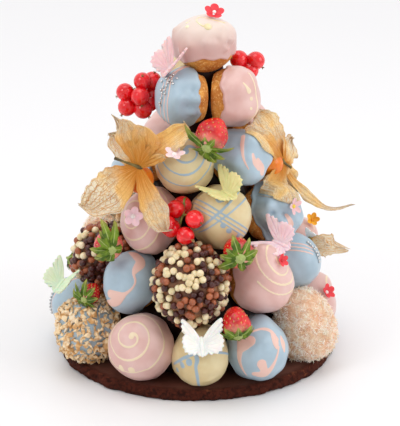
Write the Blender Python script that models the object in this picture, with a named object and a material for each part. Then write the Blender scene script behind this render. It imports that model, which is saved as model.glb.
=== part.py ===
"""Croquembouche: glazed choux puffs stacked in rings round a chocolate cone, on a chocolate disc.

Lengths below are in millimetres and become metres when a mesh is made. +Z is up, -Y is the front,
and the origin is the centre of the disc's underside. A piece on the tower is placed by its azimuth
(0 is the front, positive to the right), its height and its reach from the upright axis.
"""

import math

import bmesh
import bpy
from mathutils import Matrix, Vector
from mathutils.bvhtree import BVHTree

MM = 0.001
GAP = 0.3  # clearance left between neighbouring solids

# Driving dimensions
DISC_RADIUS = 75.0
DISC_THICK = 6.0
DISC_SIDES = 36
DISC_OUTLINE = [(0, 0), (0.98, 0), (1.0, 0.4), (0.985, 1.0), (0, 1.0)]  # shares of radius and thickness
RIM_CHIPS = [(11, 0.5), (23, 0.4)]  # the snapped rim, as waves round it and their depth
FIRST_HEIGHT = 22.0  # centre of the lowest ring of puffs
FIRST_REACH = 65.0
RING_RISE = 31.5  # from one ring to the next
RING_STEP_IN = 11.3
AXIS_LEAN = 4.0 / 126.0  # how far the tower leans to the right, for each mm of height
PUFF_WIDE = 32.4
PUFF_TALL = 27.5
SEAT = 0.48  # share of a puff's height between its flat base and its centre
CONE_PITCH = math.degrees(math.atan(RING_STEP_IN / RING_RISE))
PUFF_DENT = 0.045  # how far a puff's side is dented in, as a share of its width
GLAZE_DRIP = 0.8
PUFF_SIDES = 11
CORE_LEVELS = [50.0, 90.0]  # heights between the chocolate cone's foot and its shoulder
CORE_SHOULDER = 128.0
CORE_SIDES = 16
POST_RADIUS = (3.6, 2.8)  # the thin post from the cone's shoulder to the top puff, at its ends
CURRANT_RADIUS = 4.8
HEART_SWELL = 1.12  # the body that joins a sprig's berries, as times a berry's radius
CURRANT_SWELL = 1.03  # a berry of few faces is drawn this much larger, to fill its round outline
CURRANT_TURN = 0.7  # how much further each berry is turned about its own axis than the last
CAPE_RADIUS = 7.2
BERRY_WIDE = 15.5
BERRY_LONG = 18.0
# A strawberry's outline from the calyx to the tip: (share of half width, share of length).
BERRY_OUTLINE = [(0, 0.46), (0.55, 0.47), (0.55, 0.40), (1.0, 0.14), (0.84, -0.22), (0.42, -0.48), (0, -0.56)]
CALYX_LEAVES = 6
CALYX_REACH = 2.3  # a leaf's tip, as times the radius of the ring it grows from
CALYX_BEND = 0.07  # how far a tip bends back, as a share of the berry's length
WING_THICK = 1.2
HUSK_THICK = 0.8
HUSK_ROOM = 1.7  # how far the middle of a petal stays off the puffs, beyond its gap and thickness
PETAL_CUP = 0.10  # how far a petal's sides rise at its tip, as a share of its width
NECK_OUTLINE = [(1.6, -1.4), (2.0, 0.6), (0, 1.2)]  # radius and height, from the fruit up to the root
STUB_OUTLINE = [(0, -1.2), (1.5, -1.0), (0.8, 2.0), (0.8, 10.0), (0, 10.2)]  # the stem, from the root
FLOWER_RADIUS = 5.4
FLOWER_PETALS = 5
# A sugar flower's outline, as shares of its radius, and how far it is cut in between two petals.
FLOWER_OUTLINE = [(0, 0), (0.35, 0.02), (1.0, 0.42), (1.0, 0.62), (0.4, 0.3), (0, 0.28)]
FLOWER_CUT = 0.38
FLOWER_SPOT = (59, 4.4, (16, 60))  # azimuth, reach and the way it faces, on the top puff

# A choux puff's outline from base to crown: (share of half width, share of height).
# The second and third rings are the step where the glaze ends over the bare choux.
PUFF_OUTLINE = [
    (0.0, 0.0),
    (0.76, 0.0),
    (0.95, 0.25),
    (1.0, 0.33),
    (0.99, 0.54),
    (0.82, 0.79),
    (0.46, 0.95),
    (0.0, 1.0),
]

# Each ring of puffs, lowest first. A puff is (name, azimuth) and then what differs in it: up and out
# shift it in mm, wide, tall and long scale it (long is along the cone), base is how wide its flat
# underside is, as a share of its width, and face turns its crown.
RINGS = [
    [
        ("striped_left", -94, {"wide": 0.98}),
        ("nut", -61, {"out": 1.0, "up": 0.6, "wide": 1.06, "long": 1.03, "tall": 1.08}),
        ("spiral_low", -27, {"up": 1.6, "wide": 1.03, "long": 1.06, "tall": 1.04}),
        ("ivory_low", 2, {"wide": 0.92, "long": 1.08}),
        ("swirl_low", 30, {"up": 0.6, "wide": 0.96, "long": 1.08}),
        ("coconut", 64, {"up": 1.3, "long": 1.15}),
        ("drops_low", 95.5, {"out": -0.1, "up": 1.0, "wide": 0.97, "long": 1.1}),
        ("swirl_back", 125, {"wide": 0.94}),
        ("ivory_back", 153, {"wide": 0.92}),
        ("pearl_back", 181, {"out": 1.0, "wide": 0.97, "tall": 1.06}),
        ("spiral_back", 209, {"wide": 0.94}),
        ("lines_back", 236.5, {"wide": 0.92}),
    ],
    [
        ("pearl_left", -76, {"out": 1.5, "up": 3.6, "wide": 1.05, "long": 1.12, "tall": 1.1}),
        ("swirl_mid", -41, {"wide": 0.86, "long": 1.2}),
        ("pearl_front", -4, {"out": 4.0, "up": 4.8, "wide": 1.3, "long": 1.06, "tall": 1.24}),
        ("spiral_big", 36.5, {"out": 1.0, "up": 2.6, "wide": 0.97, "long": 1.22, "tall": 1.1, "face": (48, 22)}),
        ("striped_right", 73, {"out": 0.5, "up": 0.9, "wide": 0.94, "long": 1.04}),
        ("drops_mid", 108, {"up": -1.0}),
        ("striped_back", 143, {"wide": 0.97}),
        ("nut_back", 178, {"wide": 0.98, "tall": 1.03}),
        ("drops_back", 213, {"wide": 0.98}),
        ("coconut_left", 248, {"wide": 0.98}),
    ],
    [
        ("spiral_mid", -38.5, {"wide": 0.95, "long": 1.16}),
        ("lines_mid", 15, {"up": 4.2, "wide": 0.96, "long": 1.06}),
        ("feather_mid", 66, {"up": -1.5, "wide": 0.92, "long": 1.08}),
        ("lines_upper_back", 119, {"wide": 1.08, "up": -0.8}),
        ("spiral_upper_back", 173, {"wide": 1.1, "long": 1.06, "up": 1.0}),
        ("swirl_upper_back", 229, {"wide": 1.04, "up": -0.5}),
        ("nut_left", 275, {"out": -2.6, "up": 0.5, "wide": 0.8, "long": 0.94, "tall": 0.78}),
    ],
    [
        ("spiral_ivory", -17, {"out": 0.4, "up": -0.6, "wide": 0.98, "long": 1.03, "face": (-11, 24)}),
        ("swirl_upper", 46, {"up": -0.6, "wide": 0.93, "long": 1.1}),
        ("drops_upper_back", 139, {"wide": 1.08, "up": 0.8}),
        ("drops_upper_left", 211, {"up": -3.0}),
        ("striped_upper_left", 270, {"out": -2.6, "up": -5.0, "wide": 0.82, "tall": 0.8}),
    ],
    [
        ("striped_top", -36, {"out": 0.7, "up": -1.4, "wide": 0.94, "tall": 0.9, "base": 0.9, "face": (-74, 6)}),
        ("drops_top", 52, {"out": 0.6, "up": -2.4, "wide": 0.96, "long": 1.03, "tall": 0.86, "base": 0.88, "face": (80, 2)}),
        ("ivory_top_back", 193, {"up": -2.0, "wide": 0.95}),
    ],
]
CROWN_BASE = 158.2  # height of the top puff's underside
CROWN_SPOT = (20.0, CROWN_BASE, 4.0)  # the azimuth, height and reach of the middle of its underside
CROWN_WIDE = 33.6
CROWN_TALL = 27.8
CROWN_LEAN = 7.0  # how far the top puff leans to the left
# The top puff is round underneath, and sits down between the three below it.
CROWN_OUTLINE = [
    (0.0, 0.0),
    (0.44, 0.0),
    (0.84, 0.17),
    (0.94, 0.25),
    (1.0, 0.50),
    (0.87, 0.78),
    (0.50, 0.95),
    (0.0, 1.0),
]

# Strawberries: name, azimuth, height, reach, the way the green calyx faces (azimuth, pitch), size.
STRAWBERRIES = [
    ("top", 9.0, 133.0, 32.5, (-48, -34), 0.98),
    ("leafy", -43, 76.5, 61.5, (-25, -8), 1.05),
    ("small", -56, 46.0, 66.0, (-32, -14), 0.72),
    ("mid", 17.5, 76.5, 59.0, (6, -2), 1.05),
    ("low", 15, 42.5, 67.5, (16, -52), 1.0),
    ("left", -104, 39.0, 64.5, (-104, 18), 0.72),
    ("back", -126, 102.0, 44.5, (-128, 30), 0.72),
]

# Sprigs of redcurrants: name, azimuth, height, reach, and where each berry is from the sprig's
# middle, as right, up and out in mm. The sprigs hang facing the front or the back.
SPRIGS = [
    (
        "front",
        -11,
        90.0,
        48.4,
        (0, 0),
        [(0.1, 5.1, -9.0), (-3.4, 5.2, -3.4), (6.4, 3.2, 5.8), (-5.5, -3.4, 1.6), (-7.6, -1.2, 2.4), (1.7, -5.2, 7.6)],
    ),
    (
        "left",
        -76,
        144.5,
        33.6,
        (0, 0),
        [
            (1.2, 7.6, -0.6),
            (6.2, 6.6, -4.4),
            (-8.0, 1.6, -1.0),
            (0.0, 0.6, 3.6),
            (6.0, -1.0, -4.4),
            (-7.0, -6.0, 1.0),
            (1.4, -6.8, 2.6),
            (4.6, -4.6, -2.0),
        ],
    ),
    ("right", 110, 157.2, 24.0, (0, 0), [(-4.6, 2.0, -0.8), (4.2, 1.4, -0.6), (1.2, -3.6, 0.4), (-1.0, -1.4, -4.2)]),
    (
        "back",
        150,
        76.0,
        54.5,
        (150, 12),
        [(1, 8.0, -2.4), (-4.2, 4.0, 1.2), (5.2, 1.4, 0.6), (-5.6, -4.6, 1.0), (2.2, -6.8, 0.8)],
    ),
]

# Cape gooseberries: name, the fruit's azimuth, height and reach, the way to the husk's root from the
# fruit (azimuth, pitch), the neck between them, the way the opened husk faces (azimuth, pitch), the
# stem as (turn, lift), and the petals as (turn, length, width, lift, curl). A turn runs anticlockwise
# from the right as seen from outside, a lift leans outwards, and a curl bends a petal on outwards.
CAPES = [
    (
        "left",
        -38,
        109.0,
        47.6,
        (-14, 42),
        3.4,
        (-18, 24),
        (163, 24),
        [
            (114, 28, 14, 4, 14),
            (78, 22, 15, -8, 34),
            (45, 30, 15, 12, -24),
            (-72, 38, 12, 10, -24),
            (-137, 40, 22, -4, -6),
            (152, 24, 13, -12, -6),
        ],
    ),
    (
        "right",
        88,
        106.0,
        33.6,
        (58, 8),
        4.6,
        (50, 6),
        (-40, 20),
        [
            (137, 45, 13, 4, -6),
            (100, 36, 22, -14, -14),
            (30, 20, 18, -12, -10),
            (-60, 22, 12, -4, -6),
            (-62, 42, 7, -16, 58),
            (-140, 28, 12, 8, -26),
            (-112, 24, 10, 4, -20),
        ],
    ),
    (
        "behind",
        89,
        71.0,
        50.0,
        (90, -38),
        3.8,
        (90, -16),
        (60, 30),
        [(172, 18, 11, 72, -8), (96, 16, 12, -6, 0), (20, 18, 12, -4, 0), (-90, 14, 11, 8, 0)],
    ),
]

# Sugar butterflies: name, azimuth, height, reach, (azimuth, pitch) that the fold faces, roll, span
# and how far each wing is folded up from the flat.
BUTTERFLIES = [
    ("green", -72.5, 44.2, 75.3, (-34, 45), -18, 22, 42),
    ("yellow", 15.5, 103.9, 47.8, (-20, 67), 65, 24, 41),
    ("pink", 46.7, 73.9, 57.2, (-4, 53), 77, 24, 36),
    ("white", 1.4, 34.5, 78.1, (15, 33), -7, 21, 26),
    ("top", -44.5, 162.8, 24.3, (-42, 44), -4, 22, 44),
]
# Half of a butterfly from the head round to the tail: (share of the half span, share of it upwards).
HALF_WINGS = [
    (0.0, 0.26),
    (0.42, 0.72),
    (0.90, 1.06),
    (1.0, 0.66),
    (0.84, 0.40),
    (1.0, 0.08),
    (0.92, -0.36),
    (0.50, -0.46),
    (0.0, -0.52),
]

CHOCOLATE = (0.075, 0.032, 0.021)
PINK = (0.80, 0.56, 0.55)
BLUE = (0.43, 0.56, 0.66)
IVORY = (0.78, 0.66, 0.44)
PEARL = (0.46, 0.27, 0.17)
NUT = (0.72, 0.50, 0.26)
COCONUT = (0.84, 0.62, 0.48)
COATS = {
    "spiral_ivory": IVORY,
    "ivory": IVORY,
    "lines": IVORY,
    "striped": BLUE,
    "swirl": BLUE,
    "feather": BLUE,
    "spiral": PINK,
    "drops": PINK,
    "pearl": PEARL,
    "nut": NUT,
    "coconut": COCONUT,
}
SUGAR = {
    "green": (0.66, 0.83, 0.50),
    "yellow": (0.86, 0.80, 0.40),
    "pink": (0.85, 0.58, 0.66),
    "white": (0.90, 0.88, 0.86),
    "top": (0.88, 0.62, 0.66),
    "crown": (0.80, 0.03, 0.05),
}
BERRY_RED = (0.62, 0.03, 0.025)
CURRANT_RED = (0.55, 0.01, 0.015)
HUSK = (0.62, 0.38, 0.14)


def new_collection(name):
    made = bpy.data.collections.new(name)
    bpy.context.scene.collection.children.link(made)
    return made


def finish_material(name, colour, roughness=0.5, metallic=0.0):
    """One Principled material, made once and shared by name."""
    found = bpy.data.materials.get(name)
    if found:
        return found
    material = bpy.data.materials.new(name)
    material.use_nodes = True
    shader = material.node_tree.nodes["Principled BSDF"]
    shader.inputs["Base Color"].default_value = (*colour, 1)
    shader.inputs["Roughness"].default_value = roughness
    shader.inputs["Metallic"].default_value = metallic
    return material


def make_object(name, bm, frame, material, collection):
    """An object from a mesh drawn in mm: frame places it, and its scale is 1."""
    bmesh.ops.scale(bm, vec=Vector((MM, MM, MM)), verts=bm.verts)
    mesh = bpy.data.meshes.new(name)
    bm.to_mesh(mesh)
    bm.free()
    mesh.shade_smooth()
    mesh.set_sharp_from_angle(angle=math.radians(50))
    mesh.materials.append(material)
    obj = bpy.data.objects.new(name, mesh)
    collection.objects.link(obj)
    obj.matrix_world = frame
    return obj


def direction(azimuth, pitch=0.0):
    """The unit vector that looks out at an azimuth from the front, tipped up by pitch."""
    a, p = math.radians(azimuth), math.radians(pitch)
    return Vector((math.sin(a) * math.cos(p), -math.cos(a) * math.cos(p), math.sin(p)))


def spot(azimuth, height, reach):
    """A point on the tower, in mm."""
    point = direction(azimuth) * reach
    point.x += max(0.0, height - FIRST_HEIGHT) * AXIS_LEAN
    point.z = height
    return point


def facing(point, azimuth, pitch, roll=0.0):
    """A frame at a point in mm: local +Z looks out, +Y is up the tower, and roll turns it."""
    out = direction(azimuth, pitch)
    up = direction(azimuth, pitch + 90)
    right = up.cross(out)
    turn = Matrix((right, up, out)).transposed().to_4x4()
    return Matrix.Translation(point * MM) @ turn @ Matrix.Rotation(math.radians(roll), 4, "Z")


def turned(outline, sides):
    """A solid of revolution in mm round +Z from (radius, height) points that start and end on it."""
    bm = bmesh.new()
    verts = [bm.verts.new((radius, 0, height)) for radius, height in outline]
    edges = [bm.edges.new(pair) for pair in zip(verts, verts[1:])]
    bmesh.ops.spin(
        bm, geom=verts + edges, axis=(0, 0, 1), cent=(0, 0, 0), angle=math.tau, steps=sides, use_merge=True
    )
    bmesh.ops.remove_doubles(bm, verts=bm.verts, dist=0.01)
    bmesh.ops.recalc_face_normals(bm, faces=bm.faces)
    return bm


def joined(name, solids, material, collection):
    """One closed body from objects that overlap, in place of all of them."""
    first = solids[0]
    for other in solids[1:]:
        modifier = first.modifiers.new("Join", "BOOLEAN")
        modifier.operation = "UNION"
        modifier.solver = "MANIFOLD"
        modifier.object = other
    bpy.context.view_layer.update()
    graph = bpy.context.evaluated_depsgraph_get()
    mesh = bpy.data.meshes.new_from_object(first.evaluated_get(graph))
    mesh.materials.clear()
    mesh.materials.append(material)
    obj = bpy.data.objects.new(name, mesh)
    collection.objects.link(obj)
    obj.matrix_world = first.matrix_world
    for solid in solids:
        bpy.data.objects.remove(solid)
    return obj


def disc(collection):
    """The cast chocolate disc, with its snapped, uneven rim."""
    bm = turned([(r * DISC_RADIUS, h * DISC_THICK) for r, h in DISC_OUTLINE], DISC_SIDES)
    (few, deep), (many, shallow) = RIM_CHIPS
    for v in bm.verts:
        angle = math.atan2(v.co.y, v.co.x)
        chip = deep * math.sin(few * angle) + shallow * math.sin(many * angle + v.co.z)
        if v.co.xy.length > 1:
            v.co.xy *= 1 + chip / DISC_RADIUS
    return make_object(
        "chocolate_disc", bm, Matrix.Identity(4), finish_material("dark_chocolate", CHOCOLATE, 0.45), collection
    )


def core(collection):
    """The dark cone that the puffs are stuck to: it shows black between them."""
    seat = SEAT * PUFF_TALL * math.cos(math.radians(CONE_PITCH)) + 2 * GAP
    slope = RING_STEP_IN / RING_RISE

    def reach(height):
        sink = SEAT * PUFF_TALL * math.sin(math.radians(CONE_PITCH))
        return FIRST_REACH - seat - slope * (height + sink - FIRST_HEIGHT)

    foot = DISC_THICK + GAP
    outline = [(0, foot)] + [(reach(h), h) for h in [foot] + CORE_LEVELS + [CORE_SHOULDER]]
    low, high = POST_RADIUS
    outline += [(low, CORE_SHOULDER + 3), (high, CROWN_BASE - 3), (0, CROWN_BASE - 2)]
    bm = turned(outline, CORE_SIDES)
    for v in bm.verts:
        v.co.x += max(0.0, v.co.z - FIRST_HEIGHT) * AXIS_LEAN
    return make_object(
        "chocolate_core", bm, Matrix.Identity(4), finish_material("dark_chocolate", CHOCOLATE, 0.45), collection
    )


def coat_of(name):
    """The key in COATS of a puff's glaze or coating, from the first words of its name."""
    keys = sorted((k for k in COATS if name.startswith(k)), key=len)
    return keys[-1]


def puff(name, shape, frame, wide, tall, long, phase, collection):
    """A choux puff lying on its flat underside at local z 0, with lumps and a wavy glaze edge."""
    coat = coat_of(name)
    half = PUFF_WIDE / 2 * wide
    height = PUFF_TALL * tall
    bm = turned([(r * half, h * height) for r, h in shape], PUFF_SIDES)
    step_low, step_high = shape[2][1] * height, shape[3][1] * height
    for v in bm.verts:
        angle = math.atan2(v.co.y, v.co.x)
        dent = 0.5 - 0.5 * math.sin(2 * angle + phase) * math.cos(0.16 * v.co.z + phase)
        drip = math.sin(3 * angle + 2 * phase) + 0.5 * math.sin(5 * angle + phase)
        if step_low - 0.1 < v.co.z < step_high + 0.1:
            v.co.z += GLAZE_DRIP * drip
        v.co.xy *= 1 - PUFF_DENT * dent
        v.co.y *= long
        sunk = DISC_THICK + GAP - (frame @ (v.co * MM)).z / MM
        if sunk > 0:  # the lowest ring sits flat on the disc
            v.co += frame.to_3x3().inverted() @ Vector((0, 0, sunk))
    material = finish_material("coat_" + coat, COATS[coat], 0.45)
    return make_object("puff_" + name, bm, frame, material, collection)


def stack_puffs(collection):
    """The rings of puffs and the one on top."""
    for ring, row in enumerate(RINGS):
        height = FIRST_HEIGHT + ring * RING_RISE
        reach = FIRST_REACH - ring * RING_STEP_IN
        for index, (name, azimuth, own) in enumerate(row):
            up = own.get("up", 0)
            out = own.get("out", 0) - up * RING_STEP_IN / RING_RISE
            centre = spot(azimuth, height + up, reach + out)
            face = own.get("face", (azimuth, CONE_PITCH))
            base = centre - direction(*face) * SEAT * PUFF_TALL * min(1, own.get("tall", 1))
            wide, tall, long = own.get("wide", 1), own.get("tall", 1), own.get("long", 1)
            shape = [PUFF_OUTLINE[0], (own.get("base", PUFF_OUTLINE[1][0]), 0.0)] + PUFF_OUTLINE[2:]
            phase = 1.7 * index + ring
            puff(name, shape, facing(base, *face), wide, tall, long, phase, collection)
    wide, tall = CROWN_WIDE / PUFF_WIDE, CROWN_TALL / PUFF_TALL
    crown = facing(spot(*CROWN_SPOT), -90, 90 - CROWN_LEAN)
    puff("drops_crown", CROWN_OUTLINE, crown, wide, tall, 1, 0.6, collection)


def solid_tree(objects):
    """A search tree in mm of the surfaces of placed objects."""
    verts, faces = [], []
    for obj in objects:
        first = len(verts)
        verts += [obj.matrix_world @ v.co / MM for v in obj.data.vertices]
        faces += [[first + i for i in polygon.vertices] for polygon in obj.data.polygons]
    return BVHTree.FromPolygons(verts, faces)


def settle(obj, out, placed):
    """Slides a topping out from the tower until it is clear of everything placed before it."""
    bpy.context.view_layer.update()
    clear_steps = 0
    for _ in range(80):
        own = solid_tree([obj])
        clear_steps = 0 if any(own.overlap(other) for other in placed) else clear_steps + 1
        if clear_steps == 2:
            break
        obj.matrix_world = Matrix.Translation(out * GAP * MM) @ obj.matrix_world
        bpy.context.view_layer.update()
    placed.append(solid_tree([obj]))


def strawberry(name, azimuth, height, reach, face, size, collection):
    """A berry with its calyx towards local +Z: its leaves are a star bent back over the shoulder."""
    wide, long = BERRY_WIDE / 2 * size, BERRY_LONG * size
    leaf_levels = [h * long for _, h in BERRY_OUTLINE[1:3]]
    bm = turned([(r * wide, h * long) for r, h in BERRY_OUTLINE], 2 * CALYX_LEAVES)
    for v in bm.verts:
        angle = math.atan2(v.co.y, v.co.x)
        tip = v.co.xy.length > 1 and math.cos(CALYX_LEAVES * angle) > 0
        if tip and min(abs(v.co.z - level) for level in leaf_levels) < 0.01:
            v.co.xy *= CALYX_REACH
            v.co.z -= CALYX_BEND * long
    red = finish_material("strawberry_red", BERRY_RED, 0.3)
    return make_object("strawberry_" + name, bm, facing(spot(azimuth, height, reach), *face), red, collection)


def sprig(name, azimuth, height, reach, face, berries, collection):
    """A sprig of redcurrants, as one body out to the berries' outlines."""
    frame = facing(spot(azimuth, height, reach), *face)
    red = finish_material("currant_red", CURRANT_RED, 0.15)
    bm = bmesh.new()
    bmesh.ops.create_uvsphere(bm, u_segments=6, v_segments=4, radius=CURRANT_RADIUS * HEART_SWELL)
    solids = [make_object("heart", bm, frame, red, collection)]
    for index, centre in enumerate(berries):
        bm = bmesh.new()
        bmesh.ops.create_uvsphere(bm, u_segments=7, v_segments=5, radius=CURRANT_RADIUS * CURRANT_SWELL)
        own_turn = Matrix.Rotation(CURRANT_TURN * (index + 0.3), 3, "X")
        bmesh.ops.rotate(bm, cent=(0, 0, 0), matrix=own_turn, verts=bm.verts)
        bmesh.ops.translate(bm, vec=Vector(centre), verts=bm.verts)
        solids.append(make_object("berry", bm, frame, red, collection))
    return joined("currants_" + name, solids, red, collection)


def petal(frame, turn, length, width, lift, curl, tower, material, collection):
    """One dry petal: a thin bent leaf out from the husk's root, draped over the puffs it meets."""
    bm = bmesh.new()
    bmesh.ops.create_grid(bm, x_segments=4, y_segments=2, size=0.5)
    rise, bend, spin = math.radians(lift), math.radians(curl), Matrix.Rotation(math.radians(turn), 3, "Z")
    room = GAP + HUSK_THICK + HUSK_ROOM
    out = (frame.to_3x3() @ Vector((0, 0, 1))).normalized()
    for v in bm.verts:
        along, across = v.co.x + 0.5, v.co.y * 2
        breadth = 0.12 + 0.93 * max(0.0, math.sin(math.pi * along**1.2)) ** 0.8
        angle = rise + bend * along
        cup = PETAL_CUP * width * abs(across) * along
        leaf = Vector((along * length * math.cos(angle), across * width / 2 * breadth, cup))
        leaf.z += along * length * math.sin(angle)
        point = frame @ (spin @ leaf * MM) / MM
        for _ in range(50):
            near, normal, _, far = tower.find_nearest(point)
            if far > room and (point - near).dot(normal) > 0:
                break
            point += out * 0.5
        v.co = frame.inverted() @ (point * MM) / MM
    bmesh.ops.solidify(bm, geom=list(bm.faces), thickness=HUSK_THICK)
    bmesh.ops.recalc_face_normals(bm, faces=bm.faces)
    return make_object("petal", bm, frame, material, collection)


def cape_gooseberry(name, azimuth, height, reach, way, neck, face, stem, petals, tower, collection):
    """The fruit, the stub of its stem and the husk's petals opened back round the stem, as one body."""
    centre = spot(azimuth, height, reach)
    root = centre + direction(*way) * (CAPE_RADIUS + neck)
    husk = finish_material("husk", HUSK, 0.6)
    bm = bmesh.new()
    bmesh.ops.create_uvsphere(bm, u_segments=8, v_segments=6, radius=CAPE_RADIUS)
    solids = [make_object("fruit", bm, Matrix.Translation(centre * MM), husk, collection)]
    (foot, low), *rest = NECK_OUTLINE
    link = [(0, low - neck - 0.2), (foot, low - neck)] + rest
    solids.append(make_object("link", turned(link, 6), facing(root, *way), husk, collection))
    frame = facing(root, *face)
    lean = Matrix.Rotation(math.radians(stem[0]), 4, "Z") @ Matrix.Rotation(math.radians(90 - stem[1]), 4, "Y")
    solids.append(make_object("stub", turned(STUB_OUTLINE, 6), frame @ lean, husk, collection))
    solids += [petal(frame, *shape, tower, husk, collection) for shape in petals]
    return joined("cape_gooseberry_" + name, solids, husk, collection)


def butterfly(name, azimuth, height, reach, face, roll, span, fold, collection):
    """A cut sugar butterfly: one flat shape with scalloped wings, folded up along its body."""
    half = span / 2
    right = [(x * half, y * half) for x, y in HALF_WINGS]
    left = [(-x, y) for x, y in reversed(right[1:-1])]
    bm = bmesh.new()
    bm.faces.new([bm.verts.new((x, y, 0)) for x, y in reversed(right + left)])
    bmesh.ops.bisect_plane(
        bm, geom=bm.verts[:] + bm.edges[:] + bm.faces[:], plane_co=(0, 0, 0), plane_no=(1, 0, 0)
    )
    top = bmesh.ops.extrude_face_region(bm, geom=list(bm.faces))["geom"]
    bmesh.ops.translate(bm, vec=(0, 0, WING_THICK), verts=[g for g in top if isinstance(g, bmesh.types.BMVert)])
    bmesh.ops.recalc_face_normals(bm, faces=bm.faces)
    tilt = math.radians(fold)
    for v in bm.verts:
        out, level = abs(v.co.x), v.co.z
        v.co.x = math.copysign(max(0.0, out * math.cos(tilt) - level * math.sin(tilt) * min(1, out)), v.co.x)
        v.co.z = out * math.sin(tilt) + level * (math.cos(tilt) if out > 0.01 else 1 / math.cos(tilt))
    frame = facing(spot(azimuth, height, reach), *face, roll)
    paint = finish_material("sugar_" + name, SUGAR[name], 0.6)
    return make_object("butterfly_" + name, bm, frame, paint, collection)


def flower(name, point, face, radius, colour, collection):
    """A five-petalled sugar flower, cupped towards local +Z."""
    bm = turned([(r * radius, h * radius) for r, h in FLOWER_OUTLINE], 4 * FLOWER_PETALS)
    for v in bm.verts:
        angle = math.atan2(v.co.y, v.co.x)
        lobe = 1 - FLOWER_CUT * (1 - abs(math.cos(FLOWER_PETALS / 2 * angle)))
        if v.co.xy.length > 0.5 * radius:
            v.co.xy *= lobe
            v.co.z *= 0.5 + 0.5 * lobe
    paint = finish_material("sugar_" + name, colour, 0.6)
    return make_object("flower_" + name, bm, facing(point, *face), paint, collection)


def main():
    for obj in list(bpy.data.objects):
        bpy.data.objects.remove(obj)
    tower = new_collection("croquembouche")
    disc(tower)
    core(tower)
    stack_puffs(tower)
    bpy.context.view_layer.update()
    stacked = solid_tree(tower.objects)
    placed = [stacked]
    for row in CAPES:
        cape = cape_gooseberry(*row, stacked, tower)
        placed.append(solid_tree([cape]))
    for row in STRAWBERRIES:
        settle(strawberry(*row, tower), direction(row[1], 20), placed)
    for row in SPRIGS:
        settle(sprig(*row, tower), direction(row[1], 20), placed)
    for row in BUTTERFLIES:
        settle(butterfly(*row, tower), direction(*row[4]), placed)
    azimuth, reach, face = FLOWER_SPOT
    top = spot(azimuth, CROWN_BASE + CROWN_TALL, reach)
    settle(flower("crown", top, face, FLOWER_RADIUS, SUGAR["crown"], tower), direction(0, 90), placed)


main()
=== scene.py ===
# Croquembouche: the finish of every piece. Lengths are in millimetres until a mesh is made from them.
import math
import random

import bmesh
import bpy
import numpy as np
from mathutils import Euler, Matrix, Vector, noise
from mathutils.bvhtree import BVHTree


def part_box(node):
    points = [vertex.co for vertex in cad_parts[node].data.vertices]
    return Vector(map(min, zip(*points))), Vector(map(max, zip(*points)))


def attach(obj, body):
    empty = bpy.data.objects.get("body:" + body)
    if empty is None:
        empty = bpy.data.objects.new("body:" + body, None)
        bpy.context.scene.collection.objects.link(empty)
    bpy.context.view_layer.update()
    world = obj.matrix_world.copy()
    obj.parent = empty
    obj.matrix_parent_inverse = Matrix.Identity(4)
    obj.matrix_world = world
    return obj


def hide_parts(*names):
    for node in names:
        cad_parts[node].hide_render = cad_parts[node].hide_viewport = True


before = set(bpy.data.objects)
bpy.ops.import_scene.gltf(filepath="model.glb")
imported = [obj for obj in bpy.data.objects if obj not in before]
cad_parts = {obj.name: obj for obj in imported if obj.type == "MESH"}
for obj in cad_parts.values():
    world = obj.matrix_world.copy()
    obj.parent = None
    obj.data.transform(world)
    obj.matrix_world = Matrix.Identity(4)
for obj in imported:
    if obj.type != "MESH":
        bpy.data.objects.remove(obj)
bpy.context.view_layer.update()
mm = 0.001
upward = Vector((0, 0, 1))


# small helpers

def paint(code):  # a colour code as the linear colour that nodes take
    parts = [int(code[k : k + 2], 16) / 255 for k in (0, 2, 4)]
    return tuple(c / 12.92 if c < 0.04045 else ((c + 0.055) / 1.055) ** 2.4 for c in parts) + (1.0,)


def deeper(code, share):  # the same colour code, darker
    return "".join("%02X" % round(int(code[k : k + 2], 16) * share) for k in (0, 2, 4))


def lookOut(azimuth, pitch=0.0):  # azimuth 0 is the front, positive to the right
    a, p = math.radians(azimuth), math.radians(pitch)
    return Vector((math.sin(a) * math.cos(p), -math.cos(a) * math.cos(p), math.sin(p)))


def axesAt(point, out, up):  # local +Z looks out, +Y goes up
    out = out.normalized()
    up = (up - out * up.dot(out)).normalized()
    return Matrix.Translation(point) @ Matrix((up.cross(out), up, out)).transposed().to_4x4()


def turnBy(degrees, axis="Z"):
    return Matrix.Rotation(math.radians(degrees), 4, axis)


def raised(height):
    return Matrix.Translation((0, 0, height))


def facing(point, azimuth, pitch=0.0, roll=0.0):
    return axesAt(point, lookOut(azimuth, pitch), lookOut(azimuth, pitch + 90)) @ turnBy(roll)


def anyWay(rng):  # a random direction, even all round
    return Vector([rng.gauss(0, 1) for _ in range(3)]).normalized()


def ballShape(fineness):
    bm = bmesh.new()
    bmesh.ops.create_icosphere(bm, subdivisions=fineness, radius=1.0)
    return bm


def sheetShape(bm, across, along):  # a flat grid, each point with its share of the length and -1 to 1 across
    made = bmesh.ops.create_grid(bm, x_segments=along, y_segments=across, size=0.5)
    return {v: (v.co.x + 0.5, v.co.y * 2) for v in made["verts"]}


def facesOf(points):
    return {f for v in points for f in v.link_faces}


def addCone(bm, place, segments, low, high, depth):
    size = {"segments": segments, "radius1": low, "radius2": high, "depth": depth}
    bmesh.ops.create_cone(bm, cap_ends=True, matrix=place, **size)


def cadCopy(node):  # a merged copy of a CAD node, in mm
    bm = bmesh.new()
    bm.from_mesh(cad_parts[node].data)
    bmesh.ops.scale(bm, vec=(1000, 1000, 1000), verts=bm.verts)
    bmesh.ops.remove_doubles(bm, verts=bm.verts, dist=0.01)
    bmesh.ops.recalc_face_normals(bm, faces=bm.faces)
    return bm


def boxOf(node):
    low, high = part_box(node)
    return low * 1000, high * 1000


def middleOf(node):
    low, high = boxOf(node)
    return (low + high) / 2


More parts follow.
